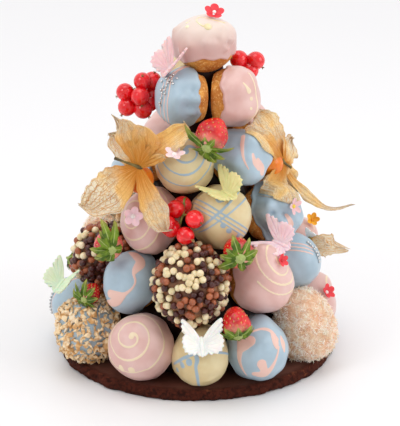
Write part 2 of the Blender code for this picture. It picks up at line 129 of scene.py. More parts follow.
def inBox(node, shares):  # a point at these shares of a node's box
    low, high = boxOf(node)
    return Vector([low[i] + (high[i] - low[i]) * shares[i] for i in range(3)])


def meshFrom(name, bm, smooth=True):
    bmesh.ops.scale(bm, vec=(mm, mm, mm), verts=bm.verts)
    mesh = bpy.data.meshes.new(name)
    bm.to_mesh(mesh)
    bm.free()
    if smooth:
        mesh.shade_smooth()
    return mesh


def linked(name, data):
    thing = bpy.data.objects.new(name, data)
    bpy.context.scene.collection.objects.link(thing)
    return thing


def addPiece(name, mesh, materials, slotName, *nodes):
    piece = linked(name, mesh)
    mesh.materials.clear()
    for material in materials:
        mesh.materials.append(material)
    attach(piece, "root")
    if nodes:
        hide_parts(*nodes)
    return piece


def addSheet(name, bm, material, slotName, thickness, *nodes):  # a thin piece that gets its thickness live
    piece = addPiece(name, meshFrom(name, bm), [material], slotName, *nodes)
    thick = piece.modifiers.new("thickness", "SOLIDIFY")
    thick.thickness, thick.offset = thickness * mm, 0


def centreOn(bm, node):  # moves a new shape so that its box has the same middle as the node's
    points = np.array([v.co for v in bm.verts])
    shift = middleOf(node) - (Vector(points.min(axis=0)) + Vector(points.max(axis=0))) / 2
    bmesh.ops.translate(bm, vec=shift, verts=bm.verts)
    return shift


def sowCopies(name, templates, places):  # one mesh from many placed copies of small shapes
    points, faces, shapes, count = [], [], [], 0
    for bm in templates:
        bm.verts.ensure_lookup_table()
        shapes.append((np.array([v.co for v in bm.verts]), [[v.index for v in f.verts] for f in bm.faces]))
        bm.free()
    for index, place in enumerate(places):
        corners, loops = shapes[index % len(shapes)]
        turn = np.array(place)
        points.append(corners @ turn[:3, :3].T + turn[:3, 3])
        faces += [[count + i for i in loop] for loop in loops]
        count += len(corners)
    mesh = bpy.data.meshes.new(name)
    mesh.from_pydata((np.vstack(points) * mm).tolist(), [], faces)
    return mesh


def tube(name, paths, sides=2):  # round piping along paths of (point, radius)
    curve = bpy.data.curves.new(name, "CURVE")
    curve.dimensions = "3D"
    curve.bevel_depth = 1.0
    curve.bevel_resolution = sides
    curve.use_fill_caps = True
    for path in paths:
        spline = curve.splines.new("POLY")
        spline.points.add(len(path) - 1)
        for spot, (point, radius) in zip(spline.points, path):
            spot.co = (*point, 1)
            spot.radius = radius
    holder = linked(name, curve)
    bpy.context.view_layer.update()
    mesh = bpy.data.meshes.new_from_object(holder.evaluated_get(bpy.context.evaluated_depsgraph_get()))
    bpy.data.objects.remove(holder)
    bpy.data.curves.remove(curve)
    bm = bmesh.new()
    bm.from_mesh(mesh)
    bpy.data.meshes.remove(mesh)
    bmesh.ops.remove_doubles(bm, verts=bm.verts, dist=0.001)
    bmesh.ops.recalc_face_normals(bm, faces=bm.faces)
    return bm


def smoothPath(points, steps=6):  # a rounded path through points of any number of values
    if len(points) < 3:
        return [tuple(p) for p in points]
    points = [np.array(p, float) for p in points]
    ends = [2 * points[0] - points[1]] + points + [2 * points[-1] - points[-2]]
    path = []
    for a, b, c, d in zip(ends, ends[1:], ends[2:], ends[3:]):
        for t in [step / steps for step in range(steps)]:
            line = 2 * b + (c - a) * t
            path.append(0.5 * (line + (2 * a - 5 * b + 4 * c - d) * t**2 + (3 * b - a - 3 * c + d) * t**3))
    path.append(points[-1])
    return [tuple(p) for p in path]


# node materials

def startMaterial(name, roughness=0.5, **values):
    material = bpy.data.materials.new(name)
    material.use_nodes = True
    nodes = material.node_tree.nodes
    shader = nodes["Principled BSDF"]
    shader.inputs["Roughness"].default_value = roughness
    for socket, value in values.items():
        shader.inputs[socket.replace("_", " ")].default_value = value
    return material, shader, nodes.new("ShaderNodeTexCoord").outputs["Object"]


def addNode(near, kind, inputs=None, **settings):  # a new node in the same tree as the socket near
    tree = near.id_data
    node = tree.nodes.new("ShaderNode" + kind)
    for key, value in settings.items():
        setattr(node, key, value)
    for key, value in (inputs or {}).items():
        if isinstance(value, bpy.types.NodeSocket):
            tree.links.new(value, node.inputs[key])
        else:
            node.inputs[key].default_value = value
    return node


def speckle(coords, scale, detail=2.0, roughness=0.5):
    inputs = {"Vector": coords, "Scale": scale, "Detail": detail, "Roughness": roughness}
    return addNode(coords, "TexNoise", inputs).outputs["Fac"]


def stepUp(value, low, high, toLow=0.0, toHigh=1.0):  # a soft threshold
    inputs = {"Value": value, "From Min": low, "From Max": high, "To Min": toLow, "To Max": toHigh}
    return addNode(value, "MapRange", inputs, interpolation_type="SMOOTHSTEP").outputs["Result"]


def sums(kind, *values):  # the first value is a socket
    return addNode(values[0], "Math", dict(enumerate(values)), operation=kind).outputs["Value"]


def blendColour(share, first, second):
    return addNode(share, "Mix", {0: share, 6: first, 7: second}, data_type="RGBA").outputs[2]


def mottle(coords, scale, detail, edges, deep, tone):  # two colours in soft patches
    return blendColour(stepUp(speckle(coords, scale, detail), *edges), paint(deep), paint(tone))


def bump(height, strength, distance, **under):
    inputs = {"Height": height, "Strength": strength, "Distance": distance, **under}
    return addNode(height, "Bump", inputs).outputs["Normal"]


def wire(shader, **sockets):
    for name, value in sockets.items():
        value.id_data.links.new(value, shader.inputs[name.replace("_", " ")])


def attribute(coords, name):
    return addNode(coords, "Attribute", attribute_name=name).outputs["Fac"]


# puffs

tones = {
    "pink": "E2BFB8",
    "pinkDeep": "D8ADA5",
    "blue": "AEC2CF",
    "blueDeep": "A0B4C1",
    "ivory": "DCCCA2",
    "ivoryDeep": "D3BC8C",
    "ivoryInk": "EAD6B6",
    "blueInk": "9DB2C0",
    "pinkInk": "E8C1B4",
    "choux": "DE9844",
    "chouxDark": "BE732C",
    "chouxPale": "EBBB72",
}


def glazeMaterial(name, tone, deep, ink, fade=None):
    material, shader, coords = startMaterial(
        name, 0.3, Subsurface_Weight=0.12, Subsurface_Scale=0.002, Subsurface_Radius=(1.0, 0.7, 0.5), IOR=1.45
    )
    cloud = speckle(coords, 70, 3, 0.55)
    coat = blendColour(stepUp(cloud, 0.3, 0.7), paint(deep), paint(tone))
    if fade:  # whiter towards the top: partly the icing's own paler top, partly painted light falling from above
        high = addNode(coords, "SeparateXYZ", {"Vector": coords}).outputs["Z"]
        coat = blendColour(stepUp(high, *fade["heights"]), coat, paint(fade["tone"]))
    wobble = sums("MULTIPLY_ADD", speckle(coords, 900, 2), 0.3, -0.15)
    drawn = stepUp(sums("ADD", attribute(coords, "ink"), wobble), 0.09, -0.09)
    coat = blendColour(drawn, coat, paint(ink))
    crumb, toast = speckle(coords, 900, 4, 0.6), speckle(coords, 110, 3, 0.6)
    crust = blendColour(stepUp(toast, 0.38, 0.62), paint(tones["chouxDark"]), paint(tones["choux"]))
    crust = blendColour(stepUp(crumb, 0.5, 0.68), crust, paint(tones["chouxPale"]))
    ragged = sums("MULTIPLY_ADD", speckle(coords, 380, 4, 0.6), 2.2, -1.1)
    glazed = stepUp(sums("ADD", attribute(coords, "glaze"), ragged), -0.15, 0.25)
    wire(shader, Base_Color=blendColour(glazed, crust, coat))
    wire(shader, Roughness=stepUp(glazed, 0, 1, 0.75, 0.3))
    grain = sums("MULTIPLY", crumb, stepUp(glazed, 0, 1, 1.0, 0.03))
    rough = bump(grain, 0.8, 0.0006)
    relief = sums("ADD", drawn, stepUp(cloud, 0, 1, 0, 0.5))
    wire(shader, Normal=bump(relief, 0.4, 0.0002, Normal=rough))
    return material


glazes = {
    "pink": glazeMaterial("pinkGlaze", tones["pink"], tones["pinkDeep"], tones["ivoryInk"]),
    "blue": glazeMaterial("blueGlaze", tones["blue"], tones["blueDeep"], tones["pinkInk"]),
    "ivory": glazeMaterial("ivoryGlaze", tones["ivory"], tones["ivoryDeep"], tones["blueInk"]),
}
# The crown goes from a darker pink low down to a near-white top: partly its own paler top, partly painted
# light on the top and painted shade lower down.
crownPaleTopAndPaintedLight = {"tone": "E6D5C9", "heights": (0.171, 0.187)}
glazes["crown"] = glazeMaterial("crownGlaze", "D3ADA6", "C99E96", tones["ivoryInk"], crownPaleTopAndPaintedLight)
slots = {"crown": "pink_icing", "pink": "pink_icing", "blue": "blue_icing", "ivory": "ivory_icing"}
coatSlots = {"pearl": "chocolate_pearls", "nut": "chopped_nuts", "coconut": "shredded_coconut"}

# What is drawn on a puff: strokes are (right, up, half width) in mm about its centre on the puff.
heartsLow = [
    [(-7, 7.1, 2.7), (-8.4, 2.9, 2), (-10.6, -3.8, 1.2), (-10, -9.2, 0.75), (-8.4, -13.9, 0.35)],
    [(-2.8, 4.7, 2.5), (-5.2, 3, 2), (-8.6, 1, 1.3)],
    [(-0.9, 9, 0.5), (3.9, 9.6, 0.65), (8.2, 7.6, 0.85), (11.2, 3.3, 0.6)],
    [(8.2, 6.4, 0.8), (9.4, 2.5, 1.7), (9.6, -0.6, 0.9)],
    [(13.6, 4.6, 0.6), (13.8, 0.9, 1.4), (13.6, -3.4, 0.7)],
    [(-4, -12.3, 1.3), (0.2, -13, 2.1), (3.8, -11.4, 1.3), (7.6, -7.2, 0.7), (10.9, -0.5, 0.35)],
    [(0.7, -7.2, 2.4), (1.4, -10.4, 1.8)],
]
heartsMid = [
    [
        (-5.2, 14.9, 0.7), (-1, 12.3, 2.2), (2, 9.6, 2.4), (0.6, 5.7, 1.5), (0.2, 3.4, 0.7), (1.5, 0.8, 0.5),
        (1, -2.2, 0.5), (-1.6, -5.7, 0.9), (-4.7, -7.6, 2.2), (-8.5, -7.8, 2.1),
    ],
    [(-1.6, -5.7, 0.9), (-5.6, -11.2, 2.3), (-9.9, -13.6, 1.6)],
]
puffLooks = {
    "spiral": {"spiral": {"centre": (1.5, 2), "pitch": 5.2, "width": 0.5, "start": 60}},
    "spiral_low": {
        "spiral": {
            "centre": (1.4, 5.5),
            "start": 90,
            "reaches": (1, 3.2, 4.8, 7, 7.8, 8.6, 11, 13.4, 14.6, 17.2, 17.8, 16.8),
            "width": 0.46,
        },
        "centre": (1.4, 5.5),
        "strokes": [[(0.3, 0.2, 1.3)], [(-4.2, -15.4, 1.3), (-3.8, -16.6, 1.5)], [(2.1, -15.9, 1.9)]],
        "bumps": [(15, 6, 5.5, 1.4), (13, -8, 5, 0.8), (1.4, 5.5, 3.2, 0.6)],
    },
    "spiral_big": {
        "spiral": {"centre": (2.1, 5.8), "pitch": 4.3, "width": 0.4, "start": 10},
        "bumps": [(-2, 14, 4, 1.6), (3.5, 7, 3.4, 0.8), (9, 12, 4, 1)],
    },
    "spiral_mid": {"spiral": {"centre": (0.1, 0.3), "pitch": 5.4, "width": 0.42, "start": 200}},
    "spiral_ivory": {
        "spiral": {
            "centre": (2.9, 4.3),
            "start": 90,
            "reaches": (1.4, 5.2, 5.4, 5.8, 6.6, 9.1, 11.2, 12.4, 11.6, 14.5, 17.4, 16.8, 15.6),
            "width": 0.46,
        },
        "strokes": [[(2.9, 4.3, 1.5)]],
        "coat": "ivory",
    },
    "ivory": {
        "strokes": [
            [
                (-18, -5, 0.8), (-9, -0.4, 0.8), (-3.1, 1.8, 0.7), (3, 2.6, 0.65), (10.9, 2, 0.6),
                (17.5, 0.8, 0.6),
            ],
            [(-2.7, 2.4, 0.8), (-2, -0.9, 0.95), (-2.6, -3.7, 0.7), (-2, -9.2, 0.75), (-1.2, -19.5, 0.65)],
            [(-15.2, -7.9, 1.2), (-14.8, -8.9, 1.2)],
            [(-9.7, -3.4, 1.45), (-9.5, -4, 1.45)],
            [(-5.7, -1.6, 1.45), (-5.6, -2.1, 1.45)],
        ],
        "bumps": [(4.9, -9, 2.6, -0.9)],
        "coat": "ivory",
    },
    "lines": {
        "strokes": [
            [(-20, 16.6, 0.38), (-2.8, 2, 0.42), (16.7, -11.3, 0.38)],
            [(-19.7, 12.3, 0.34), (-3.9, 0.4, 0.34), (15.5, -13.1, 0.38)],
            [(-18.4, 8.4, 0.34), (-3.2, -2.2, 0.34), (12, -13, 0.34)],
            [(-22.1, -9.4, 0.48), (-4.8, 1.7, 0.6), (13, 15.7, 0.46)],
            [(-18.6, -10.1, 0.42), (-3, -0.7, 0.42), (17, 11.4, 0.48)],
            [(-2.5, -3.8, 1.4)], [(0.1, -6.5, 1.3)], [(5, -9.3, 1.15)],
            [(-3.2, 8.3, 1.5), (-1, 8.5, 1.2)],
        ],
        "coat": "ivory",
    },
    "swirl": {"strokes": heartsLow, "bumps": [(-3, 1, 3.6, 0.9), (0.5, 3.2, 3, 0.8), (4, -3, 5, -0.6)]},
    "swirl_low": {
        "strokes": heartsLow,
        "centre": (-7.3, 1.1),
        "nudge": (0, -1, 0),
        "grow": 1.03,
        "bumps": [(-8, 2.4, 4, 1), (-3.4, 4.2, 3.4, 0.9), (-6, -6, 5, -0.7)],
    },
    "swirl_mid": {"strokes": heartsMid, "centre": (8.5, 1.4)},
    "swirl_upper": {
        "strokes": [
            [(4.8, 8.9, 0.9), (3.3, 4.6, 0.8), (2.6, -0.8, 0.5), (3.6, -5.6, 0.25)],
            [(6.9, -0.1, 0.7), (7, -3.3, 1.2), (8, -6.9, 0.9)],
            [(9.2, -3.2, 1), (10.1, -7.1, 1.7), (9.2, -9.6, 1.1)],
        ],
        "centre": (-11.2, 1),
        "nudge": (-2, 0, 0),
        "grow": 0.95,
        "bumps": [
            (-4, 6, 4.5, 1.8), (3, 2, 4, 1.6), (-12, -2, 4, 1.4), (-7.5, 8.5, 3.2, -1.6),
            (-1, -6, 3.2, -1.5), (-6, -1, 3, 1.2),
        ],
        "lumps": 1.2,
    },
    "feather": {
        "strokes": [
            [(6.5, -3.3, 0.8), (6.6, -7.3, 1.4), (5.1, -11.6, 0.7)],
            [(7.9, 10.1, 0.6), (8.9, 7.3, 1.2), (7.1, 4.5, 0.5)],
        ],
        "centre": (-14.6, 2.9),
        "bumps": [
            (-14, 8, 3.4, 2.3), (-7, 4, 3, 2.2), (-12, -4, 3.4, 2.3), (-4, -6, 3.2, 2), (-18, 0, 2.6, 1.9),
            (-9, -0.5, 2.2, -2), (-15, 2.5, 2, -2), (-3, 9, 2.8, 1.8), (-8, -11, 2.8, 1.8),
            (-1, 2, 2.4, -1.6),
        ],
        "lumps": 1.1,
    },
    "striped": {
        "strokes": [
            [(-13, 7, 0.42), (-3, 9.4, 0.42), (8, 8, 0.42), (16, 2.6, 0.42)],
            [(-13.4, 5, 0.34), (-3, 7.3, 0.34), (8, 5.9, 0.34), (15.6, 0.6, 0.34)],
            [(-13.6, 3, 0.34), (-3, 5.2, 0.34), (8, 3.8, 0.34), (15, -1.4, 0.34)],
        ],
    },
    "striped_left": {
        "strokes": [[(-1.8, 18, 0.5), (-4, 9, 0.6), (-5.6, 0.6, 0.6), (-4.4, -9, 0.5), (0, -17, 0.4)]],
        "centre": (11, 2),
    },
    "striped_right": {
        "strokes": [
            [(-8.3, 7.7, 0.42), (-3.3, 8.3, 0.42), (3.6, 5.7, 0.4), (13, 0.6, 0.4)],
            [(-8.7, 6.1, 0.34), (-3.7, 6.6, 0.34), (2.6, 3.9, 0.34), (12.3, -1.4, 0.34)],
            [(-8.9, 4.6, 0.34), (-4, 5, 0.34), (1.7, 2.4, 0.34), (10.4, -2.8, 0.34)],
        ],
        "centre": (-13.2, 7.4),
        "nudge": (-1.4, 0, 0),
    },
    "striped_top": {
        "strokes": [
            [(1.6, 20.4, 0.9), (-3.7, 17.6, 1.4), (-7.9, 14.4, 0.9)],
            [(-5.5, 16.6, 0.4), (-7.3, 7.2, 0.36), (-7.6, -0.6, 0.36), (-8, -8.5, 0.36), (-6.2, -19, 0.36)],
            [
                (-7.7, 13.8, 0.4), (-9.8, 5.3, 0.36), (-10, -2.1, 0.36), (-10.8, -8.9, 0.4),
                (-8.7, -18.8, 0.36),
            ],
            [
                (-11.6, 6, 0.3), (-12.6, 1, 0.34), (-13.4, -4.9, 0.36), (-13.9, -11.8, 0.36),
                (-12.1, -19.5, 0.36),
            ],
        ],
        "centre": (17.3, 7.9),
        "bumps": [
            (21, 12, 3.4, -1.8), (25.5, 6, 3.4, 1.6), (21, -1, 3.6, -1.3), (16, 5, 3.2, 1.1),
            (24, -7, 3.4, 1.2), (12, -12, 4, 0.9),
        ],
        "lumps": 0.8,
        "rim": 0.2,
    },
    "drops": {
        "strokes": [
            [(-9, 6, 0.4), (-3, 8.5, 0.5), (4, 6.5, 0.6), (8, 1, 0.9)],
            [(8.4, -2.6, 1.3)], [(6.6, -6.6, 1)],
            [(-12, -2, 0.4), (-8, -7, 0.5), (-1, -9, 0.5)],
        ],
    },
    "drops_low": {
        "strokes": [
            [(-9, 6, 0.4), (-3, 8.5, 0.5), (4, 6.5, 0.6), (8, 1, 0.9)],
            [(8.4, -2.6, 1.3)], [(6.6, -6.6, 1)],
        ],
        "nudge": (-2.6, 0, 0),
    },
    "drops_top": {
        "strokes": [
            [(3.4, 5.8, 0.35), (5, 3.9, 0.6), (6.4, 1.9, 1.3)],
            [(8, -2.1, 1.1)], [(7.1, -7, 0.8)],
            [
                (8, 11.6, 0.4), (10.6, 6, 0.55), (12.3, -0.2, 0.6), (12.2, -7.4, 0.6), (9.4, -15.3, 0.55),
                (7.4, -21.9, 0.4),
            ],
        ],
        "centre": (-17.7, 6.4),
        "rim": 0.24,
    },
    "nut": {"rim": 0.1},
    "pearl": {"rim": 0.1},
    "pearl_left": {"rim": 0.1, "grow": 0.96, "nudge": (1.4, 0, 0)},
    "coconut": {"rim": 0.1, "nudge": (1, -3.2, -0.6), "grow": 1.04},
    "coconut_left": {"rim": 0.1},
    "drops_crown": {
        "coat": "crown",
        "strokes": [],
        "rim": 0.28,
        "waist": 0.58,
        "below": 0.63,
        "square": 2.1,
        "bumps": [
            (10, -12, 5, 0.8), (10.5, 13, 3.4, 1), (13, 22, 2.4, 1.5), (17, 20, 2, -1.3),
            (21, 19, 2.4, 1.4), (20, 11, 2.4, -0.9), (23, 3, 2.8, 1), (22, -9, 2.6, 1.1),
            (20, -18, 2.4, 1.3), (0, -18, 3, 1.1), (24, 25, 2.6, 1.4),
        ],
    },
}
puffLooks["striped_upper_left"] = {**puffLooks["striped"], "nudge": (0.5, 0, -3.5), "grow": 0.97}
puffLooks["drops_upper_left"] = {**puffLooks["drops"], "nudge": (0, -2.5, -2.5), "rim": 0.14}
puffShape = {  # heights are shares of the whole height, the rest is in mm
    "waist": 0.40, "below": 0.55, "rim": 0.24, "square": 2.35, "fineness": 6, "lumps": 0.55, "pimples": 0.1,
    "drip": 0.9, "icing": 0.8, "lip": 0.35, "piping": 0.18,
}
coatDepths = {"pearl": 3.1, "nut": 1.0, "coconut": 1.0}


def looksOf(node):  # the looks with the longest name that the puff's own name starts with
    name = node.replace("puff_", "")
    key = max((k for k in puffLooks if name.startswith(k)), key=len, default="drops")
    return puffLooks[key]


def coatOf(node):
    name = node.replace("puff_", "")
    for key in coatSlots:
        if name.startswith(key):
            return key
    plain = {"spiral": "pink", "drops": "pink", "ivory": "ivory", "lines": "ivory"}
    return looksOf(node).get("coat", plain.get(name.split("_")[0], "blue"))


def seatOf(node):  # a puff's own axes, from the flat underside of its CAD body, and its sizes
    bm = cadCopy(node)
    flats = []
    for face in bm.faces:
        area, middle = face.calc_area(), face.calc_center_median()
        for flat in flats:
            level = abs((middle - flat["middle"]).dot(flat["normal"]))
            if face.normal.dot(flat["normal"]) > 0.9995 and level < 0.05:
                flat["moment"] += middle * area
                flat["area"] += area
                break
        else:
            flat = {"normal": face.normal.copy(), "middle": middle, "moment": middle * area, "area": area}
            flats.append(flat)
    base = max(flats, key=lambda flat: flat["area"])
    out = -base["normal"]
    axes = axesAt(base["moment"] / base["area"], out, upward if abs(out.z) < 0.9 else Vector((1, 0, 0)))
    local = np.array([axes.inverted() @ v.co for v in bm.verts])
    bm.free()
    look = looksOf(node)
    half, long = np.abs(local[:, :2]).max(axis=0) * look.get("grow", 1)
    axes = Matrix.Translation(look.get("nudge", (0, 0, 0))) @ axes
    waist = look.get("waist", puffShape["waist"])
    return {"axes": axes, "half": half, "long": long, "tall": local[:, 2].max(), "waist": waist}


def insideOf(seat):  # the middle of a puff at its waist
    return seat["axes"] @ Vector((0, 0, seat["waist"] * seat["tall"]))


def ballMesh(fineness):
    mesh = bpy.data.meshes.new("ball")
    bm = ballShape(fineness)
    bm.to_mesh(mesh)
    bm.free()
    return mesh


def pointsOf(mesh):
    points = np.zeros(len(mesh.vertices) * 3)
    mesh.vertices.foreach_get("co", points)
    return points.reshape(-1, 3)


def crossAxes(middle):  # right and up on the surface at a direction
    up = (Vector((0, 1, 0)) - middle * middle.y).normalized()
    return up.cross(middle), up


def onPlane(ways, centre, half):  # unit directions as (right, up) in mm along the surface from a centre
    middle = wayTo(centre, half)
    right, up = crossAxes(middle)
    a, b = ways @ np.array(right), ways @ np.array(up)
    far = half * np.arccos(np.clip(ways @ np.array(middle), -1, 1))
    length = np.maximum(np.hypot(a, b), 1e-9)
    return np.stack([far * a / length, far * b / length], axis=1)


def wayTo(spot, half):  # the direction from a puff's middle to a spot (right, up) in mm from its crown
    far = math.hypot(*spot)
    if far < 1e-6:
        return Vector((0, 0, 1))
    angle = far / half
    return Vector((spot[0] / far * math.sin(angle), spot[1] / far * math.sin(angle), math.cos(angle)))


def strokeGap(spots, path):  # how far each spot is from a stroke's edge, negative inside it
    gap = np.full(len(spots), 99.0)
    if len(path) == 1:
        path = list(path) * 2
    for (ax, ay, ar), (bx, by, br) in zip(path, path[1:]):
        along = np.array((bx - ax, by - ay))
        span = max(along @ along, 1e-9)
        t = np.clip(((spots[:, 0] - ax) * along[0] + (spots[:, 1] - ay) * along[1]) / span, 0, 1)
        far = np.hypot(spots[:, 0] - ax - along[0] * t, spots[:, 1] - ay - along[1] * t)
        gap = np.minimum(gap, far - (ar + (br - ar) * t))
    return gap


def spiralPath(shape):  # winds out clockwise as seen from outside, by its reach at each quarter turn
    reaches = shape.get("reaches") or [shape["pitch"] * (0.1 + k / 4) for k in range(15)]
    path = []
    for step, (reach,) in enumerate(smoothPath([(r,) for r in reaches], 7)):
        angle = step / 7 * math.pi / 2
        turn = math.radians(shape["start"]) - angle
        width = shape["width"] * (1 + 0.22 * math.sin(2.3 * angle))
        path.append((reach * math.cos(turn), reach * math.sin(turn), width + 0.3 * math.exp(-angle)))
    return path


def waves(points, size, seed, count=5):  # smooth unevenness about -1 to 1, from a few crossing waves
    rng = random.Random(seed)
    total = np.zeros(len(points))
    for _ in range(count):
        way = np.array(anyWay(rng))
        turns = math.tau / (size * rng.uniform(0.7, 1.4))
        total += np.sin(points @ way * turns + rng.uniform(0, 6.3))
    return total / count**0.5


def shapePuff(seat, look, seed, shrink=0.0):  # points, glaze and ink for every point of the round ball
    half, long, tall = seat["half"] - shrink, seat["long"] - shrink, seat["tall"] - shrink
    shape = {**puffShape, **look}
    x, y, z = ballPoints.T
    fit = (np.hypot(x, y) ** shape["square"] + np.abs(z) ** shape["square"]) ** (-1 / shape["square"])
    middle = seat["waist"] * tall
    depth = np.where(z > 0, 1 - seat["waist"], shape["below"]) * tall
    points = np.stack([x * fit * half, y * fit * long, np.maximum(middle + z * fit * depth, 0)], axis=1)
    ways = points - np.array((0, 0, middle))
    ways /= np.linalg.norm(ways, axis=1)[:, None]
    around = np.arctan2(ways[:, 1], ways[:, 0])
    rng = random.Random(seed)
    a, b, c = [rng.uniform(0, 6.3) for _ in range(3)]
    drip = np.sin(3 * around + a) + 0.6 * np.sin(5 * around + b) + 0.35 * np.sin(11 * around + c)
    glaze = points[:, 2] - shape["rim"] * tall - shape["drip"] * drip
    free = np.clip(points[:, 2] / 3.0, 0, 1)
    swell = shape["lumps"] * waves(points, 17, seed)
    swell += shape["pimples"] * waves(points, 7, seed + 1)
    coat = np.clip(glaze / 1.1, 0, 1)
    lip = shape["lip"] * np.exp(-(((glaze - 1.3) / 0.9) ** 2))
    swell += shape["icing"] * coat * coat * (3 - 2 * coat) + lip - 0.6
    for right, up, size, height in look.get("bumps", []):
        far = np.linalg.norm(onPlane(ways, (right, up), half), axis=1)
        swell += height * np.exp(-((far / size) ** 2) * 1.6)
    spots = onPlane(ways, look.get("centre", (0, 0)), half)
    ink = np.full(len(points), 9.0)
    for stroke in look.get("strokes", []):
        ink = np.minimum(ink, strokeGap(spots, smoothPath(stroke)))
    if "spiral" in look:
        wound = onPlane(ways, look["spiral"]["centre"], half)
        ink = np.minimum(ink, strokeGap(wound, spiralPath(look["spiral"])))
    swell += shape["piping"] * np.clip(-ink / 0.5 + 0.3, 0, 1)
    points += ways * (swell * free)[:, None]
    axes = np.array(seat["axes"])
    return points @ axes[:3, :3].T + axes[:3, 3], glaze, np.minimum(ink, 4.0)


def storeNumbers(mesh, name, values):
    mesh.attributes.new(name, "FLOAT", "POINT").data.foreach_set("value", values.astype(np.float32))


ball = ballMesh(puffShape["fineness"])
ballPoints = pointsOf(ball)
discTop = boxOf("chocolate_disc")[1].z
puffNodes = sorted(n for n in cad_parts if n.startswith("puff_"))
seats = {node: seatOf(node) for node in puffNodes}
puffMeshes = {}
baseMaterials = {}


def bakePuffs():
    for seed, node in enumerate(puffNodes):
        coat = coatOf(node)
        points, glaze, ink = shapePuff(seats[node], looksOf(node), seed, coatDepths.get(coat, 0.0))
        points[:, 2] = np.maximum(points[:, 2], discTop + 0.05)
        mesh = ball.copy()
        mesh.name = node
        mesh.vertices.foreach_set("co", (points * mm).ravel())
        mesh.update()
        mesh.shade_smooth()
        storeNumbers(mesh, "glaze", glaze)
        storeNumbers(mesh, "ink", ink)
        material = glazes[coat] if coat in glazes else baseMaterials[coat]
        slot = slots[coat] if coat in slots else coatSlots[coat]
        addPiece(node.replace("puff_", "choux_"), mesh, [material], slot, node)
        puffMeshes[node] = mesh


def plainMaterial(name, tone, deep, roughness=0.4, scale=120, relief=0.0004, **values):
    material, shader, coords = startMaterial(name, roughness, **values)
    wire(shader, Base_Color=mottle(coords, scale, 3, (0.35, 0.65), deep, tone))
    wire(shader, Normal=bump(speckle(coords, scale * 4, 3), 0.5, relief))
    return material


baseMaterials["pearl"] = plainMaterial("caramelUnderPearls", "8F5E3A", "5E3620", 0.45, 160)
baseMaterials["nut"] = glazes["blue"]
baseMaterials["coconut"] = plainMaterial("icingUnderCoconut", "F2DABE", "E2B28E", 0.6, 200)
bakePuffs()
print("puffs:", len(puffNodes))
puffTrees = {}


def treeOf(node):
    if node not in puffTrees:
        points = pointsOf(puffMeshes[node]) * 1000
        corners = [list(p.vertices) for p in puffMeshes[node].polygons]
        puffTrees[node] = BVHTree.FromPolygons(points.tolist(), corners)
    return puffTrees[node]


def hitFrom(node, inside, way):  # the skin of a puff, met from outside along a direction
    return treeOf(node).ray_cast(inside + way * 60, -way)[:2]


def onPuff(node, spot, lift=0.0, centre=(0, 0)):  # point and way out at (right, up) mm on a puff
    seat = seats["puff_" + node]
    middle = wayTo(centre, seat["half"])
    right, up = crossAxes(middle)
    flat = wayTo(spot, seat["half"])
    way = right * flat.x + up * flat.y + middle * flat.z
    way = (seat["axes"].to_3x3() @ way).normalized()
    point, normal = hitFrom("puff_" + node, insideOf(seat), way)
    return point + normal * lift, normal


# chocolate disc and cone

def chocolateMaterial(name, deep, tone):
    material, shader, coords = startMaterial(name, 0.35, Specular_IOR_Level=0.12)
    rim = attribute(coords, "rim")
    crumb = speckle(coords, 420, 4, 0.7)
    cloud = speckle(coords, 45, 3)
    top = blendColour(stepUp(cloud, 0.3, 0.7), paint(deep), paint(tone))
    snapped = blendColour(stepUp(crumb, 0.35, 0.6), paint("2A0F08"), paint("4C2014"))
    ginger = sums("MULTIPLY", stepUp(speckle(coords, 240, 3, 0.6), 0.6, 0.7), 0.6)
    snapped = blendColour(ginger, snapped, paint("80462C"))
    dull = sums("ADD", rim, stepUp(cloud, 0.4, 0.6, 0, 0.25))
    wire(shader, Base_Color=blendColour(rim, top, snapped), Roughness=stepUp(dull, 0, 1, 0.28, 0.8))
    height = sums("MULTIPLY", crumb, stepUp(rim, 0, 1, 0.12, 1.0))
    wire(shader, Normal=bump(height, 0.8, 0.0009))
    return material


discShape = {
    "sides": 300, "ragged": 0.9, "fine": 0.6,
    "profile": [  # from the middle of the underside round to the top, as shares of radius and thickness
        (0, 0), (0.5, 0), (0.85, 0), (0.962, 0), (0.985, 0.04), (0.994, 0.16), (0.998, 0.33), (0.997, 0.5),
        (0.992, 0.66), (0.986, 0.82), (0.979, 0.94), (0.968, 1), (0.95, 1), (0.92, 1), (0.86, 1), (0.7, 1),
        (0.4, 1), (0, 1),
    ],
}
coneShape = {  # from the height melt upwards it is wider, and again from the height top
    "lumps": 0.7, "melt": 131, "top": 150, "wider": (2.0, 4.0), "lean": 0.032, "aside": 0.6, "stretch": 0.8,
}


def makeDisc():
    low, high = boxOf("chocolate_disc")
    radius, thick = (high.x - low.x) / 2, high.z - low.z
    bm = bmesh.new()
    verts = [bm.verts.new((r * radius, 0, low.z + h * thick)) for r, h in discShape["profile"]]
    geom = verts + [bm.edges.new(pair) for pair in zip(verts, verts[1:])]
    bmesh.ops.spin(bm, geom=geom, axis=upward, angle=math.tau, steps=discShape["sides"], use_merge=True)
    bmesh.ops.remove_doubles(bm, verts=bm.verts, dist=0.01)
    bmesh.ops.recalc_face_normals(bm, faces=bm.faces)
    rims = []
    for v in bm.verts:
        big, little = [noise.fractal(v.co * size, 0.8, 2.1, 3) for size in (0.11, 0.42)]
        edge = min(1.0, max(0.0, (v.co.xy.length / radius - 0.93) / 0.05))
        rims.append(edge)
        push = edge * (discShape["ragged"] * (big - 0.5) + discShape["fine"] * little)
        v.co.xy *= 1 + push / radius
        if v.co.z > 0.01:
            v.co.z -= edge * max(0.0, 0.3 * big + 0.2 * little) + 0.05 * big * (1 - edge)
    mesh = meshFrom("chocolateDisc", bm)
    storeNumbers(mesh, "rim", np.array(rims))
    chocolate = chocolateMaterial("discChocolate", "55322A", "6E463B")
    addPiece("chocolate_base", mesh, [chocolate], "dark_chocolate", "chocolate_disc")


